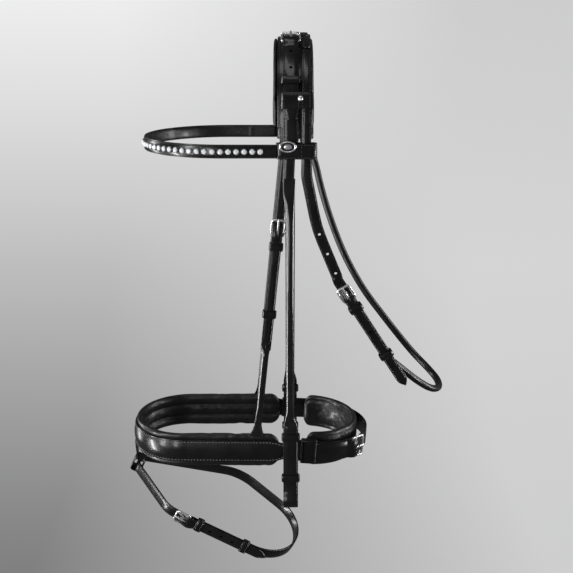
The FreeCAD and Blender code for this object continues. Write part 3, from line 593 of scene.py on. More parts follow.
BLACK = (0.0040, 0.0038, 0.0040)
SOOT = (0.0085, 0.0080, 0.0084)
MATERIALS = {
    "leather": (leather("bridle_leather", BLACK, SOOT, 0.26, 1500.0, 0.1, 0.25, 0.08, 0, 0.4),
                "bridle_leather"),
    "roll": (leather("rolled_leather", BLACK, SOOT, 0.17, 1900.0, 0.06, 0.8, 0.04), "bridle_leather"),
    "cord": (leather("throat_leather", BLACK, SOOT, 0.3, 1500.0, 0.05, 0.15, 0.12, 0, 0.35),
             "bridle_leather"),
    "lining": (leather("lining_leather", (0.006, 0.0058, 0.006), (0.011, 0.0105, 0.011), 0.34, 1250.0, 0.3,
                       0.2, 0.16, 0.2, 0.4), "padding_leather"),
    "thread": (thread("waxed_thread", (0.05, 0.048, 0.046)), "bridle_leather"),
    "pale_thread": (thread("noseband_thread", (0.16, 0.155, 0.15)), "bridle_leather"),
    "dark_thread": (thread("seam_thread", (0.012, 0.0115, 0.012)), "bridle_leather"),
    "steel": (metal("polished_steel", (0.9, 0.9, 0.91), 0.2), "buckle_steel"),
    "cup": (metal("cup_silver", (0.42, 0.42, 0.43), 0.26), "cup_metal"),
    "badge": (metal("badge_silver", (0.78, 0.78, 0.8), 0.2), "badge_metal"),
    "enamel": (leather("badge_enamel", (0.01, 0.01, 0.012), (0.02, 0.02, 0.022), 0.15, 700.0, 0.03, 0.8,
                       0.04), "badge_metal"),
    "crystal": (gem("cut_crystal"), "crystal"),
}


# ---------------------------------------------------------------- layout of the bridle

POLL = 71.0
SLIP_RADIUS = 78.7
CROWN_RADIUS = 81.2
CHEEK_RADIUS = 83.7
CHEEK_X, REAR_X, SLIP_X = -2.5, 13.25, -8.5
HEEL_ANGLE = 66.0
NOSE = tilted((0, 0, -361.5), "X", 3)
NOSE_FRONT, NOSE_RADIUS, CHIN_REAR, CHIN_RADIUS = -121.5, 58.0, 26.0, 60.0
CHIN = tilted((14, 0, 0), "Y", 3).within(NOSE)
FLASH = tilted((0, 0, 0), "X", 18).within(tilted((0, 0, -487.5), "Y", 24.8))
HANG = tilted((-4.4, -85.6, -46), "X", 1.3)
CHEEK = Frame(HANG.o, [HANG.turn((0, 0, 1)), HANG.turn((-1, 0, 0)), HANG.turn((0, -1, 0))])
HEAD_TOP, HEAD_FOOT, HEAD_HEEL = np.array((-9.3, -78.6, -42.8)), np.array((-39.4, -60.3, -343)), 73.0
HEAD = on_strap(HEAD_TOP - unit(HEAD_TOP - HEAD_FOOT) * HEAD_HEEL, HEAD_TOP - HEAD_FOOT)
THROAT_HEEL, THROAT_TIP = np.array((60.0, -68.5, -186.0)), np.array((122.5, -46.0, -287.0))
THROAT = on_strap(THROAT_HEEL, THROAT_HEEL - THROAT_TIP)
THROAT_TOP = [(11.5, -83.5, -42.8), (24.6, -79.6, -108.0)]
BROW_X, BROW_RADIUS, BROW_Z = -72.0, 86.6, -27.0


def over_poll(a):
    """Outward directions at angles a up from the near side, over the poll."""
    return np.stack([np.zeros_like(a), -np.cos(a), np.sin(a)], axis=-1)


def round_nose(a):
    """Outward directions at angles a from the near side through the rear, in a level plane."""
    return np.stack([np.sin(a), -np.cos(a), np.zeros_like(a)], axis=-1)


def on_arch(angle, radius, x):
    """Frame on the crown at an angle up from the near side; its x runs up the arch."""
    a = math.radians(angle)
    outward = over_poll(a)
    return on_strap(outward * radius + (x, 0, 0), (0, math.sin(a), math.cos(a)), outward)


def arch(radius, x, near_leg=None, far_leg=None, first=0, last=180):
    """Points and outward directions over the poll, with straight legs below it."""
    n = over_poll(np.radians(np.linspace(first, last, int((last - first) / 1.5) + 2)))
    p = n * radius + (x, 0, 0)
    if near_leg is not None:
        p, n = np.vstack([[(x, -radius, -near_leg)], p]), np.vstack([[(0, -1, 0)], n])
    if far_leg is not None:
        p, n = np.vstack([p, [(x, radius, -far_leg)]]), np.vstack([n, [(0, 1, 0)]])
    return p, n


def bent(points, place, across=0.0, side=1, rounds=2):
    """Points (along, outward) of a strap in the plane of its frame, with its bends eased."""
    flat = np.array(points, float)
    for _ in range(rounds):
        flat = Track.cut_corners(flat)
    t = unit(np.gradient(flat, axis=0))
    p = np.stack([flat[:, 0], np.full(len(flat), across), flat[:, 1]], axis=1)
    n = np.stack([-t[:, 1] * side, np.zeros(len(flat)), t[:, 0] * side], axis=1)
    return place.put(p), place.turn(n)


def joined(*pieces):
    return Track(np.vstack([p for p, _ in pieces]), np.vstack([n for _, n in pieces]))


def across_horse(piece):
    """The same run on the far side, in the opposite order."""
    p, n = piece
    return (p * (1, -1, 1))[::-1], (n * (1, -1, 1))[::-1]


def with_ends(first, points, last, outs, **how):
    """Track of a curve with a straight run before and after it."""
    return Track(np.vstack([[first], points, [last]]), np.vstack([outs[:1], outs, outs[-1:]]), **how)


LEAN = math.asin((NOSE_RADIUS - CHIN_RADIUS) / (CHIN_REAR - NOSE_FRONT))   # of the noseband's sides


def nose_belt(inset, near_x):
    """Track round the horse's nose, inset from the leather's inner face, from near_x on either side."""
    outs = round_nose(np.linspace(LEAN, -math.pi - LEAN, 100))
    arc = outs * (NOSE_RADIUS - inset) + (NOSE_FRONT, 0, 0)
    first, last = (point + np.array((1, sign * math.tan(LEAN), 0)) * (near_x - point[0])
                   for point, sign in ((arc[0], 1), (arc[-1], -1)))
    return with_ends(first, arc, last, outs, place=NOSE)


def billet_run(place, tip, start):
    """Run of a billet from its tip, over the heel bar and under the outer bar, to a point above."""
    points = [(tip, STACKED), (-40, STACKED), (-9, STACKED), (-3.4, OVER - 0.4), (2.0, OVER), (9.5, 3.2),
              (FRAME_LENGTH - 1, 0.1), (24, 0), (start, 0)]
    return bent(sorted(points), place)


# ---------------------------------------------------------------- hardware, in a strap's frame

LOCAL = Frame((0, 0, 0), np.eye(3))


def buckle(half):
    """Rounded frame with its heel bar, cast a little thicker at the outer bar."""
    reach = FRAME_LENGTH / 2
    points, _ = rounded_loop(reach, half + BAR_SPARE, 3.0, (reach, 0), 7)
    line = [(u, v, BAR + 0.45 * math.sin(math.pi * min(max(u / FRAME_LENGTH, 0), 1))) for u, v in points]
    loop = Track(line, (0, 0, 1), closed=True)

    def section(distance):
        fat = np.interp(loop.point(distance)[0], (0, 3, 13, 16), (1.15, 1.0, 1.1, 1.3))
        return oval_section(fat, fat * 1.12, 2.5, count=14)
    bar = Track([(0, -half - BAR_SPARE, BAR), (0, half + BAR_SPARE, BAR)], (0, 0, 1))
    return total([around(loop, 84, section),
                  sweep(bar, np.linspace(0, bar.length, 6), lambda _: oval_section(1.15, 1.15, count=14))])


def tongue():
    """Prong with its loop round the heel bar and a flattened tip on the outer bar."""
    a = np.arange(24) * math.pi / 12
    outs = np.stack([np.cos(a), np.zeros(24), np.sin(a)], axis=1)
    loop = Track(outs * 1.55 + (0, 0, BAR), outs, closed=True)
    ring = around(loop, 24, lambda _: oval_section(1.35, 0.42, 3, 0.42, count=12))
    run = joined(bent([(0.3, 5.3), (4.0, 6.2), (9, 6.5), (13, 6.15), (17.4, 5.55)], LOCAL))
    keys = np.array([(0, 1.3, 0.75), (4, 1.25, 0.8), (12, 1.05, 0.7), (15, 1.15, 0.62), (17.2, 0.85, 0.4)])

    def section(s):
        return oval_section(*(np.interp(s, keys[:, 0], keys[:, k]) for k in (1, 2)), 2.6, count=14)
    return total([ring, sweep(run, np.linspace(0, run.length, 18), section)])


def chape(half):
    """Leather that folds round the heel bar, in two lobes beside the tongue."""
    gap = 1.8
    wide = (half - gap) / 2
    track = joined(bent([(-11, 0.9), (-6, 0.8), (-2.6, 0.7), (0.8, 1.5), (2.25, 3.7), (0.9, 5.7), (-1.6, 5.8),
                         (-4.0, 3.9), (-7.5, 2.5)], LOCAL, side=-1))
    return total([strap(track, wide, 1.05, low=-0.5, ends=("skive", "skive"), centre=sign * (gap + wide),
                        step=1.0, crown=0, crease=False) for sign in (-1, 1)])


def keeper(at, half, place, length=8.0, top=STACKED + LEATHER + 0.3):
    """Leather loop round a strap and the billet on it."""
    low = -0.3
    loop = band(half + 0.6, (top - low) / 2, 1.0, (0, (top + low) / 2), "yz", length / 2, 1.4)
    return loop.placed(Frame(place.put((at, 0, 0)), place.a))


def fittings(stem, half, place, body, far=False, runner_at=None):
    """Buckle and tongue, on both sides for the crown, and the sewn and the sliding keeper of a billet."""
    for name, geo in (("buckle", buckle(half)), ("tongue", tongue())):
        geo = geo.placed(place)
        for side, made in (("_left", geo), ("_right", geo.far())) if far else (("", geo),):
            node = "%s_%s%s" % (stem, name, side)
            make(node + "_steel", made, "steel", body if name == "buckle" else node, node, smooth=60)
    if runner_at is not None:
        fixed, sliding = stem + "_keeper_fixed", stem + "_keeper_sliding"
        make(stem + "_keeper_loop", keeper(FIXED_KEEPER, half, place), "leather", body, fixed)
        make(stem + "_runner_loop", keeper(runner_at, half, place), "leather", sliding, sliding)


# ---------------------------------------------------------------- stage, light and camera

def backdrop_sheet():
    """Floor that curves up into a wall behind."""
    floor, foot, radius = -0.95, 1.0, 1.1
    profile = [(-1.3, floor), (foot, floor)]
    profile += [(foot + radius * math.sin(a), floor + radius * (1 - math.cos(a)))
                for a in np.linspace(0.1, math.pi / 2, 14)]
    profile += [(2.1, 3.4)]
    verts = [(x * 1000, y * 1000, z * 1000) for y, z in profile for x in (-4.5, 4.5)]
    faces = [(2 * i, 2 * i + 1, 2 * i + 3, 2 * i + 2) for i in range(len(profile) - 1)]
    sheet = bare("backdrop", Geo(verts, faces))
    # painted light: glow levels of the paper from floor to wall top, on the left and on the right
    sheet.data.materials.append(backdrop("paper_glowing_with_painted_light", (0.19, 0.5, 0.86), (0.6, 0.65, 0.6)))
    sheet.visible_glossy = sheet.visible_diffuse = False


def softbox(name, place, target, width, height, watts):
    light = bpy.data.lights.new(name, "AREA")
    light.shape = "RECTANGLE"
    light.size, light.size_y = width, height
    light.energy = watts
    lamp = linked(name, light)
    lamp.location = place
    back = unit(np.array(place, float) - np.array(target, float))
    side = unit(np.cross((0, 0, 1), back))
    lamp.rotation_mode = "QUATERNION"
    turn = Matrix(np.array([side, np.cross(back, side), back]).T.tolist())
    lamp.rotation_quaternion = turn.to_quaternion()


def studio():
    backdrop_sheet()
    scene = bpy.context.scene
    scene.world = bpy.data.worlds.new("studio")
    scene.world.use_nodes = True
    tree = scene.world.node_tree
    shown = add(tree, "ShaderNodeLightPath").outputs["Is Camera Ray"]
    feed(tree, tree.nodes["Background"], {"Color": (1, 1, 1, 1),
                                          "Strength": spread(tree, shown, 0.085, 0.72, (0, 1))})
    softbox("left_key", (-1.15, -0.95, 0.0), (0, 0, -0.22), 0.26, 1.3, 13)
    softbox("left_rim", (-1.05, 0.45, -0.1), (0, 0, -0.2), 0.2, 1.3, 7)
    softbox("left_strip", (-1.13, -0.3, -0.66), (0, -0.08, -0.28), 0.12, 0.6, 8)
    softbox("front_left", (-0.62, -1.35, -0.15), (-0.12, -0.06, -0.37), 0.18, 0.8, 4)
    softbox("right_rim", (1.1, 0.2, 0.0), (0, 0, -0.15), 0.16, 1.3, 9)
    softbox("right_strip", (1.15, -0.42, -0.36), (0, -0.08, -0.12), 0.14, 0.4, 6)
    softbox("top_box", (-0.25, -0.35, 1.2), (0, 0, -0.1), 0.9, 0.4, 2.5)
    camera = bpy.data.cameras.new("camera")
    camera.sensor_width = 36.0
    camera.lens = 70.1
    scene.camera = linked("camera", camera)
    scene.camera.location = (-0.007, -1.214, 0.128)
    scene.camera.rotation_euler = (math.radians(75.27), 0, 0)
    scene.view_settings.view_transform = "Standard"


# ---------------------------------------------------------------- throatlash roll, a hanging cord

def throat_cord():
    """Rolled lower half of the throatlash: NURBS through the control points of the CAD route."""
    route = [THROAT.put((-89.2, 0, -2.2)), (122, -43, -275), (140, -37, -291), (157, -23, -305),
             (169, -2, -311), (170, 21, -309), (160, 41, -301), (144, 53, -287), (125, 55, -264),
             (106, 59, -240), (88, 63, -217), (74, 67, -195), (58.6, 72, -165.5), (44.2, 76, -127.8),
             (33.4, 79.5, -92.8), (26.9, 82.5, -63.8), (20.5, 84.3, -45)]
    curve = bpy.data.curves.new("throat_cord", "CURVE")
    curve.dimensions = "3D"
    spline = curve.splines.new("NURBS")
    spline.points.add(len(route) - 1)
    for point, place in zip(spline.points, route):
        point.co = (*[c * MM for c in place], 1)
    spline.order_u = 3
    spline.use_endpoint_u = True
    spline.resolution_u = curve.resolution_u = 10
    curve.bevel_depth = 4 * MM
    curve.bevel_resolution = 6
    curve.use_fill_caps = True
    cord = linked("throat_cord", curve)
    finished(cord, "cord", "throatlash", "throat_roll")
    [float(c) * MM for c in route[0]]


# ---------------------------------------------------------------- padded pieces

def swollen(name, track, loop, body, nodes, cap, stretch=-0.03, step=2.6, reach=4.0):
    """Cushion with rounded ends over one loop of (across, outward, pinned) along a track."""
    loop, pins = np.array(loop, float)[:, :2], [pin for _, _, pin in loop]
    middle = (loop.max(0) + loop.min(0)) / 2
    near = [reach * (1 - math.cos(a)) for a in (0.12, 0.5, 0.9, 1.25)]
    far = [track.length - s for s in reversed(near)]
    inner = np.linspace(0, track.length, int(track.length / step) + 1)
    places = np.array(near + [s for s in inner if near[-1] + 0.5 < s < far[0] - 0.5] + far)

    def section(s):
        d = min(s, track.length - s, reach)
        k = math.sqrt(max(0.0, 1 - (1 - d / reach) ** 2))
        return middle + (loop - middle) * (0.35 + 0.65 * k, 0.12 + 0.88 * k)
    obj = bare(name, sweep(track, places, section))
    pad(obj, np.tile(np.array(pins, float), len(places)), cap, stretch)
    finished(obj, "lining", body, *nodes)


# ---------------------------------------------------------------- crown

def crown_padding():
    # underside, whose edges roll up beside the crown leather
    right = [(16.0, 0.0, 0), (18.2, 0.5, 0), (20.0, 1.9, 0), (20.7, 4.2, 0), (20.6, 7.0, 0), (20.0, 9.2, 0),
             (18.8, 10.3, 0), (17.5, 9.9, 0), (16.8, 8.6, 1), (16.2, 7.6, 1), (12, 7.4, 1), (6, 7.4, 1),
             (0, 7.4, 1)]
    seam = 13.5
    under = [(b, 0.35 + (0.7 if abs(b) == seam else 0), int(abs(b) == seam))
             for b in (-seam, -11, -8.5, -6, -3, 0, 3, 6, 8.5, 11, seam)]
    track = joined(arch(POLL, 0, 5, 5))
    swollen("crown_pad_cushion", track, under + right + mirrored(right[:-1]), "root",
            ["crown_pad", "crown_foam"], 0.7)
    make("crown_pad_thread", row_pair(track, seam, 0.75, 6, -6), "thread", "root")


def crown():
    crown_padding()
    track = joined(arch(CROWN_RADIUS, 0, 4, 4))
    make("crown_top_leather", strap(track, 16.4, step=3), "leather", "root", "crown_leather")
    make("crown_top_thread", row_pair(track, 14.2, LEATHER, 3, -3), "thread", "root")

    # crown strap: one billet on each side
    heel = on_arch(HEEL_ANGLE, CHEEK_RADIUS, CHEEK_X)
    bar_angle = HEEL_ANGLE + math.degrees(math.atan(FRAME_LENGTH / CHEEK_RADIUS))
    angles = np.linspace(3, 177, 140)
    lift = np.interp(np.minimum(angles, 180 - angles), (60, 64.2, 67.8, bar_angle), (STACKED, OVER, OVER, 0))
    outs = over_poll(np.radians(angles))
    billets = Track(outs * (CHEEK_RADIUS + lift)[:, None] + (CHEEK_X, 0, 0), outs, rounds=2)
    holes = [hole(on_arch(angle, CHEEK_RADIUS, CHEEK_X), 0) for angle in (53.5, 39.0)] + [slot(heel)]

    def width(s):
        return np.interp(min(s, billets.length - s), (0, 10), (5.4, 8.0))
    make("crown_billets", strap(billets, width, step=2.2), "leather", "root", "crown_strap",
         holes=[both(total(holes))])
    fittings("crown", 8.0, heel, "root", far=True)

    # rear branch, with its overlay in two lengths and a cap
    lengths = []
    for x, near_leg, first, last in ((REAR_X, 0.5, 0, 55), (REAR_X, None, 57.5, 74), (REAR_X - 2, None, 76, 84)):
        lengths.append(joined(arch(CHEEK_RADIUS + STACKED, x, near_leg, None, first, last)))
    overlay, patch, cap = lengths
    near = total([strap(overlay, 4.6, ends=("square", "round")), strap(patch, 4.5, ends=("round", "round")),
                  strap(cap, 4.2, 1.8, ends=("round", "square"))])
    make("rear_overlays", both(near), "leather", "root", "rear_overlay")
    rows = [row_pair(overlay, 3.2, LEATHER, 2, -6), row_pair(patch, 3.0, LEATHER, 3, -3)]
    make("rear_overlay_thread", both(total(rows)), "thread", "root")

    # keepers
    small_at = on_arch(29.6, CROWN_RADIUS + LEATHER, CHEEK_X)
    wide_at = on_arch(15.6, CROWN_RADIUS + LEATHER, 0)
    top = STACKED + LEATHER + 0.6
    level = top + 0.4
    wide = band(14.8, level / 2, 1.2, (-3.6, level / 2), "yz", 8.4, 1.5, step=1.4).placed(wide_at)
    make("crown_keeper_loops", both(total([keeper(0, 8.0, small_at, 8.0, top), wide])), "leather", "root",
         "crown_keepers")
    rows = [straight_row((-7.5, v, level + 1.5), (7.5, v, level + 1.5), (0, 0, 1), 0.05, 3.0, wide_at)
            for v in (-9.0, -5.2, -16.5, 9.6)]
    make("crown_keeper_thread", both(total(rows)), "thread", "root")
    dome = turned([(0.3, 1.75), (1.2, 1.62), (2.0, 1.25), (2.6, 0.7), (2.9, 0.15), (3.0, -0.4)], 28)
    seat = Frame(wide_at.put((2, -7.1, level + 1.45)), wide_at.a)
    make("keeper_domes", both(dome.placed(seat)), "steel", "root", "keeper_rivets", smooth=60)


# ---------------------------------------------------------------- cheekpieces

def hook():
    """Stud and hook inside the bit billet, from the level of the billet's face."""
    shank = turned([(1.45, 0.4), (1.45, -3.3)], 20)
    ring = band(5.2, 2.1, 1.8, (0, 0), "xy", 0.62, 1.25, step=0.8, crown=0.05)
    return shank, ring


def cheeks():
    low = CHEEK.put([(u, 0, -1.1) for u in (-352, -300, -60, -30)])
    shoulder = [(-4.4, -83.95, -64), (-3.6, -83.8, -44), (CHEEK_X, -CHEEK_RADIUS, -20)]
    normals = np.vstack([np.tile(CHEEK.a[2], (4, 1)), np.tile((0, -1, 0), (3, 1))])
    up = arch(CHEEK_RADIUS, CHEEK_X, None, None, 0, HEEL_ANGLE - 5)
    track = joined((np.vstack([low, shoulder]), normals), up)

    def s_of(u):
        return track.near(CHEEK.put((u, 0, -1.1)))
    top = track.near((CHEEK_X, -CHEEK_RADIUS, -16))
    keys = [(s_of(u), *shape) for u, *shape in (
        (-288, 8.0, 1.1, 8, 2.3, -2.0), (-280, 7.2, 1.3, 7, 2.0, -1.8), (-272, 5.2, 2.9, 3.2, 1.3, -1.0),
        (-264, 4.6, 4.4, 2, 1.1, -1.1), (-150, 4.8, 4.5, 2, 1.1, -1.2), (-52, 5.0, 4.4, 2.1, 1.1, -1.1),
        (-34, 5.5, 3.0, 2.8, 1.1, -0.6), (-25, 6.0, 1.5, 6, 1.1, 0), (-18, 6.1, 1.2, 9, 1.1, 0),
        (-9, 6.1, 1.17, 10, 1.1, 0))]
    roll = rolled(track, keys, step=2.2)
    seam = stitches(track, 0, -3.2, (s_of(-262), s_of(-44)), 3.6)
    wide = strap(track, lambda s: np.interp(s, (top - 6, top), (6.0, 8.0)), span=(s_of(-19), track.length),
                 ends=("skive", "skive"), centre=lambda s: np.interp(s, (top - 6, top), (1.0, 0.0)), step=2)
    near = total([wide, chape(8.0).placed(on_arch(HEEL_ANGLE, CHEEK_RADIUS, CHEEK_X))])
    edge = row_pair(track, 6.2, LEATHER, top + 2, track.near((CHEEK_X, -78.6, 28)))

    # billet that folds round the bit ring
    half_fold = [(-300, 0.15), (-358, 0.15), (-361.5, 1.0), (-364.5, 3.4), (-368, 4.75), (-373, 4.5),
                 (-375.6, 2.2)]
    fold = [(-276, 0.15), *half_fold, (-375.9, 0), *((u, -v) for u, v in reversed(half_fold)), (-289, -0.15)]
    loop = joined(bent(fold, CHEEK, across=-2.0, side=-1))
    billet = strap(loop, lambda s: np.interp(s, (0, 8), (5.2, 8.1)), 2.15, ends=("skive", "point"), step=2.2)
    sewn = row_pair(loop, 6.4, 2.15, 6, 24)
    face = 2.3

    def on_billet(u, level=0.0):
        return Frame(CHEEK.put((u, -2, level)), CHEEK.a)
    bolt = hole(on_billet(0), -322, radius=1.5, deep=(-1.5, -5), long=5.0)
    shank, ring = hook()
    stud = total([shank.placed(on_billet(-306, -face)), ring.placed(on_billet(-306.5, -face - 3.7))])
    for side in ("left", "right"):
        def on_side(geo):
            return geo if side == "left" else geo.far()
        body = "cheek_" + side
        make("cheek_strap_" + side, on_side(near), "leather", ("root", body, *CHEEK_FLEX),
             "cheek_upper_" + side)
        make("cheek_strap_thread_" + side, on_side(edge), "thread", "root")
        make("cheek_rolled_" + side, on_side(roll), "roll", body, "cheek_roll_" + side, smooth=60)
        make("cheek_seam_" + side, on_side(seam), "dark_thread", body)
        make("bit_fold_" + side, on_side(billet), "leather", body, "bit_billet_" + side,
             holes=[on_side(bolt)])
        make("bit_fold_thread_" + side, on_side(sewn), "thread", body)
        make("hook_" + side, on_side(stud), "steel", body, "hook_stud_" + side, smooth=50)
        for name, at, owner in (("upper", -294.5, body), ("lower", -343.0, "bit_keeper_lower_" + side)):
            ring = band(8.5, face + 0.35, 1.1, (0, 0), "yz", 4.0, 1.45).placed(on_billet(at))
            make("bit_keeper_%s_loop_%s" % (name, side), on_side(ring), "leather", owner,
                 "bit_keeper_%s_%s" % (name, side))


# ---------------------------------------------------------------- browband

def brow_run(radius, leg):
    outs = round_nose(-np.linspace(0, math.pi, 90))
    middle = (BROW_X, 0, BROW_Z)
    return with_ends((BROW_X + leg, -radius, BROW_Z), outs * radius + middle, (BROW_X + leg, radius, BROW_Z), outs)


def cut_stone():
    """Round faceted stone: table, crown facets, girdle and pavilion."""
    count, verts, faces = 10, [], []
    rings = ((1.5, 2.75, 0.0), (2.3, 2.25, 0.5), (2.72, 1.5, 0.0), (2.72, 1.25, 0.5), (0.3, 0.25, 0.0))
    for r, z, turn in rings:
        angles = [(j + turn) * 2 * math.pi / count for j in range(count)]
        verts += [(r * math.cos(a), r * math.sin(a), z) for a in angles]
    last = (len(rings) - 1) * count
    for i in range(len(rings) - 1):
        one, two = i * count, (i + 1) * count
        for j in range(count):
            k = (j + 1) % count
            if rings[i + 1][2] > rings[i][2]:
                faces += [(one + j, one + k, two + j), (one + k, two + k, two + j)]
            else:
                faces += [(one + j, one + k, two + k), (one + j, two + k, two + j)]
    return Geo(verts, faces + [tuple(range(count)), tuple(reversed(range(last, last + count)))])


def crystals():
    """Row of stones in cups, each stone turned a little in its cup."""
    cup = [turned([(0.4, 0.3), (2.5, 0.4), (2.8, 1.35), (2.95, 1.6), (3.15, 1.4), (3.25, 0.8), (3.2, 0.0)], 20)]
    bead = turned([(0.1, 0.36), (0.3, 0.22), (0.38, 0.0), (0.3, -0.26)], 8)
    for corner in (45, 135, 225, 315):
        a = math.radians(corner)
        cup.append(Geo(bead.v + (2.68 * math.cos(a), 2.68 * math.sin(a), 1.72), bead.f))
    cup, stone = total(cup), cut_stone()
    pitch, count, radius = 8.1, 45, BROW_RADIUS + 2.4
    quarter = radius * math.pi / 2
    cups, stones = [], []
    for number in range(count):
        d = (number - (count - 1) / 2) * pitch
        if abs(d) <= quarter:
            out = np.array((-math.cos(d / radius), math.sin(d / radius), 0))
            point = np.array((BROW_X, 0, BROW_Z)) + out * radius
        else:
            side = math.copysign(1, d)
            out = np.array((0, side, 0))
            point = np.array((BROW_X + abs(d) - quarter, side * radius, BROW_Z))
        seat = on_strap(point, (0, 0, 1), out)
        turn = draw.uniform(0, 0.6)
        c, s = math.cos(turn), math.sin(turn)
        cups.append(cup.placed(seat))
        stones.append(stone.placed(Frame((0, 0, 0), [(c, s, 0), (-s, c, 0), (0, 0, 1)])).placed(seat))
    make("crystal_settings", total(cups), "cup", "browband", "crystal_cups", smooth=50)
    make("cut_crystals", total(stones), "crystal", "browband", "crystals", smooth=0)


def browband():
    outer = brow_run(BROW_RADIUS, 55)
    make("browband_leather", strap(outer, 7.0, 2.4, step=3), "leather", "browband", "browband_strap")
    make("browband_thread", row_pair(outer, 5.9, 2.35, 4, -4), "thread", "browband")
    side = [(1.3, 0.05, 0), (2.6, 0.1, 0), (3.9, 0.2, 0), (5.2, 0.5, 0), (6.2, 1.1, 0), (6.5, 1.9, 0),
            (6.3, 2.7, 1), (5.6, 3.1, 1), (4, 3.1, 1), (2, 3.1, 1), (0, 3.1, 1)]
    loop = mirrored(side[:4]) + [(0, 0.05, 0)] + side + mirrored(side[4:-1])
    swollen("browband_padding", brow_run(BROW_RADIUS - 3.3, 53), loop, "browband", ["browband_lining"], 0.4,
            stretch=-0.05, step=2.4, reach=2.5)

    # loops that the crown straps pass through
    loop = band(18.9, 5.0, 2.2, (0, 0), "xy", 8.0, 2.1, step=1.6)
    near = loop.placed(Frame((3.15, -82.05, BROW_Z), np.eye(3)))
    make("browband_end_loops", both(near), "leather", "browband", "browband_loops")
    face = -89.15
    ends = [((-14, z), (21, z)) for z in (-6.3, 6.3)] + [((x, -6.3), (x, 6.3)) for x in (-14.2, 8.2, 21.0)]
    rows = [straight_row((x1, face, BROW_Z + z1), (x2, face, BROW_Z + z2), (0, -1, 0), 0.05)
            for (x1, z1), (x2, z2) in ends]
    make("browband_loop_thread", both(total(rows)), "thread", "browband")

    # plain oval badge
    seat = on_strap((-5.8, face - 0.05, -22), (1, 0, 0))
    oval = Frame((0, 0, 0), np.diag((1, 5.75 / 9.0, 1)))
    rim = turned([(6.6, 1.0), (6.9, 1.5), (7.4, 1.95), (8.1, 2.1), (8.7, 1.8), (9.0, 1.1), (9.0, 0.0)], 48)
    plate = turned([(0.5, 1.5), (3.5, 1.42), (6.9, 1.2), (6.95, 0.9)], 48)
    medal = turned([(0.4, 2.2), (1.6, 2.15), (2.9, 1.95), (3.9, 1.65), (4.2, 1.3), (4.25, 1.2)], 16)
    for name, geo, material, smooth, nodes in (("rim", rim, "badge", 50, ["badges"]),
                                               ("plate", plate, "enamel", 50, []),
                                               ("medal", medal, "badge", 0, [])):
        make("badge_" + name, both(geo.placed(oval).placed(seat)), material, "browband", *nodes, smooth=smooth)
    crystals()


# ---------------------------------------------------------------- noseband with its headstrap

def headstrap():
    half = 5.5
    far = np.array([(u, 0, 0) for u in (-129, -60, 0, HEAD_HEEL - 3)])
    track = joined(billet_run(HEAD, -126, HEAD_HEEL - 3), arch(SLIP_RADIUS, SLIP_X, 36, 36),
                   across_horse((HEAD.put(far), np.tile(HEAD.a[2], (4, 1)))))
    make("headstrap_long", strap(track, half, ends=("point", "skive"), step=2.4), "leather",
         ("root", "noseband", *FLEX), "sliphead", "headstrap_billet",
         holes=[hole(HEAD, u) for u in (23, 40, 56)] + [slot(HEAD)])

    def lower(u_from, u_to):
        return Track(HEAD.put([(u_from, 0, 0), (u_to, 0, 0)]), HEAD.a[2])
    flat = strap(lower(-130, -8), half, ends=("skive", "skive"), step=3)
    make("headstrap_chape", total([flat, chape(half).placed(HEAD)]), "leather", "noseband")
    tail = lower(-233, -124)
    keys = [(s, *shape, 1.1, 0) for s, *shape in (
        (0, 8.2, 1.0, 9), (2, 8.0, 1.1, 9), (8, 5.4, 1.15, 8), (14, 4.0, 1.25, 7), (20, 3.7, 1.5, 5),
        (28, 3.9, 2.9, 2.6), (36, 4.0, 4.0, 2), (98, 4.0, 4.0, 2), (103, 4.6, 2.4, 3), (108, 5.3, 1.25, 8))]
    roll = rolled(tail, keys, step=2)
    make("headstrap_roll_left", roll, "roll", "noseband", "headstrap_left", smooth=60)
    make("headstrap_roll_right", roll.far(), "roll", "noseband", "headstrap_right", smooth=60)
    seam = stitches(tail, 0, -2.85, (38, 96), 3.6)
    rows = row_pair(tail, lambda s: np.interp(s, (2, 8, 14), (6.3, 3.9, 2.6)), 2.2, 1.5, 15, 2.8)
    make("headstrap_thread", both(total([seam, rows])), "thread", "noseband")
    fittings("headstrap", half, HEAD, "noseband", runner_at=-88)


def noseband():
    outer = nose_belt(0, 8)

    def width(s):
        return np.interp(min(s, outer.length - s), (0, 5, 12, 18, 26, 33), (11.8, 10.5, 9.0, 9.2, 11.8, 13.0))

    def bulge(s):
        return np.interp(min(s, outer.length - s), (16, 34), (0.15, 1.6))
    make("noseband_strap", strap(outer, width, 2.3, step=3, crown=bulge), "leather", "noseband",
         "noseband_leather")
    rows = row_pair(outer, lambda s: width(s) - 2.3, 2.3, 14, -14, 3.5, 2.5, 0.52)
    make("noseband_thread", rows, "pale_thread", "noseband")

    inner = nose_belt(7.7, -15)
    rolls = []
    for middle, half in ((-12.8, 6.0), (0, 6.4), (12.8, 6.0)):
        rolls += [(middle + half * k, 0.2 + 2.2 * k * k, 0) for k in (-0.66, -0.33, 0, 0.33, 0.66)]
        if middle < 10:
            rolls.append((middle + half + 0.2, 3.3, 1))
    edge = [(18.4, 2.2, 0), (19.1, 3.6, 0), (19.2, 5.2, 0), (18.4, 6.8, 0), (16.6, 7.7, 0), (14.4, 7.6, 1),
            (11, 7.3, 1), (5.5, 7.3, 1), (0, 7.3, 1)]
    swollen("noseband_cushion", inner, rolls + edge + mirrored(edge[:-1]), "noseband",
            ["noseband_padding", "noseband_foam"], 0.6, reach=12)
    make("noseband_cushion_thread", row_pair(inner, 6.6, 2.35, 8, -8, 3.6), "thread", "noseband")


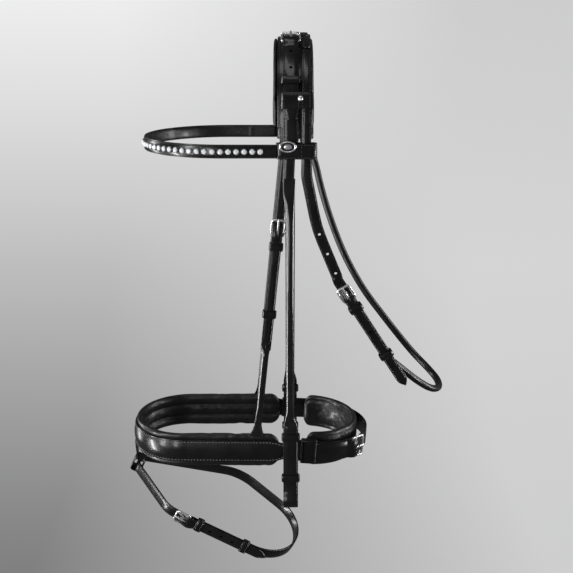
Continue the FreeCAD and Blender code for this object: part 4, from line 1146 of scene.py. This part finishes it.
def chin_strap():
    half, inner, heel_angle = 10.4, CHIN_RADIUS - STACKED, 42.0
    rim = np.array((CHIN_REAR - 14, 0, 0))
    forward, spread_ = np.array((-math.cos(LEAN), 0, 0)), np.array((0, math.sin(LEAN), 0))

    def on_rim(angle):
        return round_nose(np.radians(angle))
    bar_angle = heel_angle + math.degrees(math.atan(FRAME_LENGTH / inner))
    first = math.degrees(LEAN)
    angles = np.linspace(first, 180 - first, 90)
    lift = np.interp(angles, (heel_angle - 6, heel_angle - 1.8, heel_angle + 1.8, bar_angle),
                     (STACKED, OVER, OVER, 0))
    outs = on_rim(angles)
    p = rim + outs * (inner + lift)[:, None]
    track = with_ends(p[0] + (forward - spread_) * 15, p, p[-1] + (forward + spread_) * 38, outs,
                      rounds=1, place=CHIN)
    heel_out = on_rim(heel_angle)
    heel = math.radians(heel_angle)
    place = on_strap(rim + heel_out * inner, (math.cos(heel), math.sin(heel), 0), heel_out).within(CHIN)

    def width(s):
        return np.interp(s, (22, 54, track.length - 60, track.length - 40), (12.3, 10.2, 10.2, 12.3))
    make("chin_billet", strap(track, width, ends=("point", "square"), step=2.4), "leather", "noseband",
         "chin_strap", holes=[slot(place), hole(place, 27), hole(place, 39)])

    near = on_rim(np.linspace(first, heel_angle - 6, 24))
    base = rim + near * inner
    under = Track(np.vstack([[base[0] + (forward - spread_) * 37], base]), np.vstack([near[:1], near]), place=CHIN)

    def taper(s):
        return np.interp(s, (44, 70), (12.3, half))
    chape_strap = strap(under, taper, ends=("square", "skive"), step=2.4)
    make("chin_chape_leather", total([chape_strap, chape(half).placed(place)]), "leather", "noseband",
         "chin_chape")
    rows = [row_pair(under, lambda s: taper(s) - 2.0, LEATHER, 46, -8),
            row_pair(track, lambda s: width(s) - 2.0, LEATHER, track.length - 50, -8)]
    make("chin_thread", total(rows), "thread", "noseband")
    fittings("chin", half, place, "noseband")
    side, back = on_rim(first), np.array((math.cos(LEAN), math.sin(LEAN), 0))
    at = on_strap(rim + side * inner - back * 7.5, back, side).within(CHIN)
    make("chin_keeper_loop", keeper(0, 12.5, at, 18.0), "leather", "noseband", "chin_keeper",
         holes=[hole(at, 1.8, 1.0, 1.1, (5.6, 8))])
    rows = [straight_row((u, -10.5, 6.45), (u, 10.5, 6.45), (0, 0, 1), 0, place=at) for u in (-7.4, 7.4)]
    make("chin_keeper_thread", total(rows), "thread", "noseband")


def chin_padding():
    """Shaped pad behind the jaw."""
    reach = CHIN_RADIUS - 13.6
    outs = round_nose(np.linspace(0, math.pi, 60))
    run = with_ends((0, -reach, 0), outs * reach + (5, 0, 0), (0, reach, 0), outs, place=CHIN)
    right = [(14.2, 2.6, 1), (15.6, 1.9, 0), (17.6, 1.9, 0), (19.3, 2.8, 0), (20.1, 4.4, 0), (19.6, 6.2, 0),
             (18.0, 7.4, 0), (15.4, 7.7, 1), (11, 8.3, 0), (5.5, 8.6, 0), (0, 8.7, 0)]
    under = [(b, 0.6 + 0.8 * (b / 13) ** 4, 0) for b in (-12, -9, -6, -3, 0, 3, 6, 9, 12)]
    loop = mirrored(right[:1]) + under + right + mirrored(right[1:-1])
    swollen("chin_cushion", run, loop, "noseband", ["chin_pad"], 0.5, reach=8)
    rows = [row_pair(run, 14.3, 2.5, 12, -12), row_pair(run, 15.4, 7.75, 12, -12)]
    make("chin_cushion_thread", total(rows), "thread", "noseband")


# ---------------------------------------------------------------- flash strap

FLASH_ROUND = [(-184.5, 0, 14.0), (-138.0, -28.0, 25.0), (-40.0, -14.0, 45.0), (-80.0, -2.0, 50.0)]
FLASH_HEEL = 17.6        # heel bar to the end of the strap's straight front


def taut_out(one, two):
    """Outward direction of the straight run between two circles (x, y, radius) of a band."""
    run = np.array(two[:2]) - one[:2]
    share = (one[2] - two[2]) / np.linalg.norm(run)
    run = unit(run)
    return run * share + np.array((run[1], -run[0])) * math.sqrt(1 - share * share)


def taut_arc(circle, before, after, count=26):
    """Points and outward directions round one circle of a taut band."""
    one, two = math.atan2(before[1], before[0]), math.atan2(after[1], after[0])
    a = np.linspace(one, two + (2 * math.pi if two < one else 0), count)
    outs = np.stack([np.cos(a), np.sin(a), np.zeros(count)], axis=1)
    return outs * circle[2] + (circle[0], circle[1], 0), outs


def beside(circle, out):
    """Point where a straight run leaves a circle, and the run's direction."""
    return np.array((circle[0], circle[1], 0)) + out * circle[2], np.array((out[1], -out[0], 0))


def flash():
    half = 6.5
    following = FLASH_ROUND[1:] + FLASH_ROUND[:1]
    runs = [taut_out(one, two) for one, two in zip(FLASH_ROUND, following)]
    out = np.array((*runs[1], 0))
    corner, forward = beside(FLASH_ROUND[1], out)
    local = on_strap(corner - forward * FLASH_HEEL, forward, out)
    place = local.within(FLASH)
    arcs = [(local.put([(-10, 0, 0)]), out[None])]
    arcs += [taut_arc(FLASH_ROUND[index], runs[index - 1], runs[index]) for index in (2, 3, 0, 1)]
    ring = (FLASH.put(np.vstack([p for p, _ in arcs])), FLASH.turn(np.vstack([n for _, n in arcs])))
    run = bent([(18.5, 0), (15.5, 0.1), (9.5, 3.2), (2.0, OVER), (-3.4, OVER - 0.4), (-9, STACKED),
                (-40, STACKED), (-98, STACKED)], place, side=-1)
    front_out = np.array((*runs[0], 0))
    slope = on_strap(*beside(FLASH_ROUND[1], front_out), front_out).within(FLASH)
    holes = [hole(slope, u) for u in (2, 14, 26, 38)] + [slot(place)]
    holes += [hole(place, u, deep=(STACKED - 0.15, 8)) for u in (-27, -41, -55)]
    make("flash_leather", strap(joined(ring, run), half, ends=("skive", "point"), step=2.4), "leather", "flash",
         "flash_strap", holes=holes)
    make("flash_chape", chape(half).placed(place), "leather", "flash")
    fittings("flash", half, place, "flash", runner_at=-70)

    # loop that hangs the flash strap from the noseband
    tip = FLASH_ROUND[0][0] - FLASH_ROUND[0][2] - 1.1
    at = Frame((tip + 0.85, 0, 0), np.eye(3)).within(FLASH)
    ring = band(5.15, 8.4, 2.0, (0, 0), "xz", 6.5, 1.5).placed(at)
    tab = Track([(-180.2, 0, -395.6), (-180.6, 0, -386), (-181.9, 0, -375)], (-1, 0, 0), rounds=2)
    flap = strap(tab, lambda s: np.interp(s, (0, 20), (6.2, 5.6)), 1.6, ends=("skive", "round"), step=2)
    make("flash_hanger", total([ring, flap]), "leather", "noseband", "flash_loop")
    make("flash_hanger_thread", row_pair(tab, 3.9, 1.6, 6, -3), "thread", "noseband")


# ---------------------------------------------------------------- throatlash strap

def throatlash():
    half = 5.75
    joint, (top, turn) = THROAT.put((20, 0, 0)), np.array(THROAT_TOP)

    def between(one, two, shares):
        return [one + (two - one) * share for share in shares]
    points = between(joint, turn, (0.12, 0.5, 0.88)) + between(turn, top, (0.12, 0.5, 0.85))
    along = on_strap(joint, turn - joint)
    outs = [along.a[2]] * 3 + [on_strap(turn, top - turn).a[2]] * 3
    smooth = np.hstack([points, outs])
    for _ in range(2):
        smooth = Track.cut_corners(smooth)
    track = joined(billet_run(THROAT, -125, 26), (smooth[:, :3], smooth[:, 3:]), arch(CHEEK_RADIUS, REAR_X, 30, 38))
    s_top = track.near((REAR_X, -CHEEK_RADIUS, -20))
    holes = [hole(Frame(p, along.a), 0) for p in between(joint, turn, (0.2, 0.55, 0.9))]
    holes += [slot(THROAT), hole(THROAT, -45, deep=(STACKED - 0.15, 9))]

    def width(s):
        return np.interp(s, (s_top - 30, s_top), (half, 4.75))
    bend = ("root", "throatlash", *FLEX)
    make("throat_long", strap(track, width, ends=("point", "skive"), step=2.4), "leather", bend, "rear_strap",
         "throat_strap", holes=holes)

    # far end, rolled round the top of the cord
    end = Track([(REAR_X, 84.7, -22), (REAR_X, 84.7, -30), (13.4, 84.7, -38), (15.4, 84.7, -41.5),
                 (19.6, 84.5, -46), (22.6, 83.8, -52), (25.3, 83.0, -59.4)], (0, 1, 0))
    keys = [(s, *shape, 0, 0) for s, *shape in (
        (0, 4.8, 1.2, 8), (16, 4.8, 1.25, 8), (20, 5.0, 1.8, 5), (27, 4.8, 4.0, 2.4),
        (end.length - 1, 4.3, 4.3, 2), (end.length, 4.05, 4.05, 2))]
    make("throat_far_end", rolled(end, keys, step=1.6), "cord", bend, smooth=60)

    lower = Track(THROAT.put([(-89, 0, 0), (-8, 0, 0)]), THROAT.a[2])
    keys = [(0, 3.8, 3.8, 2, -2.1, 0), (4, 4.1, 3.4, 2.2, -1.5, 0), (10, 5.2, 1.9, 4, 0.2, 0),
            (16, 5.75, 1.1, 9, 1.1, 0), (20, 5.7, 1.0, 9, 1.1, 0)]
    flat = strap(lower, half, span=(15, lower.length), ends=("skive", "skive"), step=3)
    make("throat_chape_leather", total([rolled(lower, keys, step=1.6), flat, chape(half).placed(THROAT)]),
         "leather", "throatlash", "throat_chape")
    make("throat_thread", row_pair(lower, 4.2, LEATHER, 17, 34, 3.0), "thread", "throatlash")
    fittings("throat", half, THROAT, "throatlash", runner_at=-80)


studio()
throat_cord()
crown()
cheeks()
browband()
headstrap()
noseband()
chin_strap()
chin_padding()
flash()
throatlash()
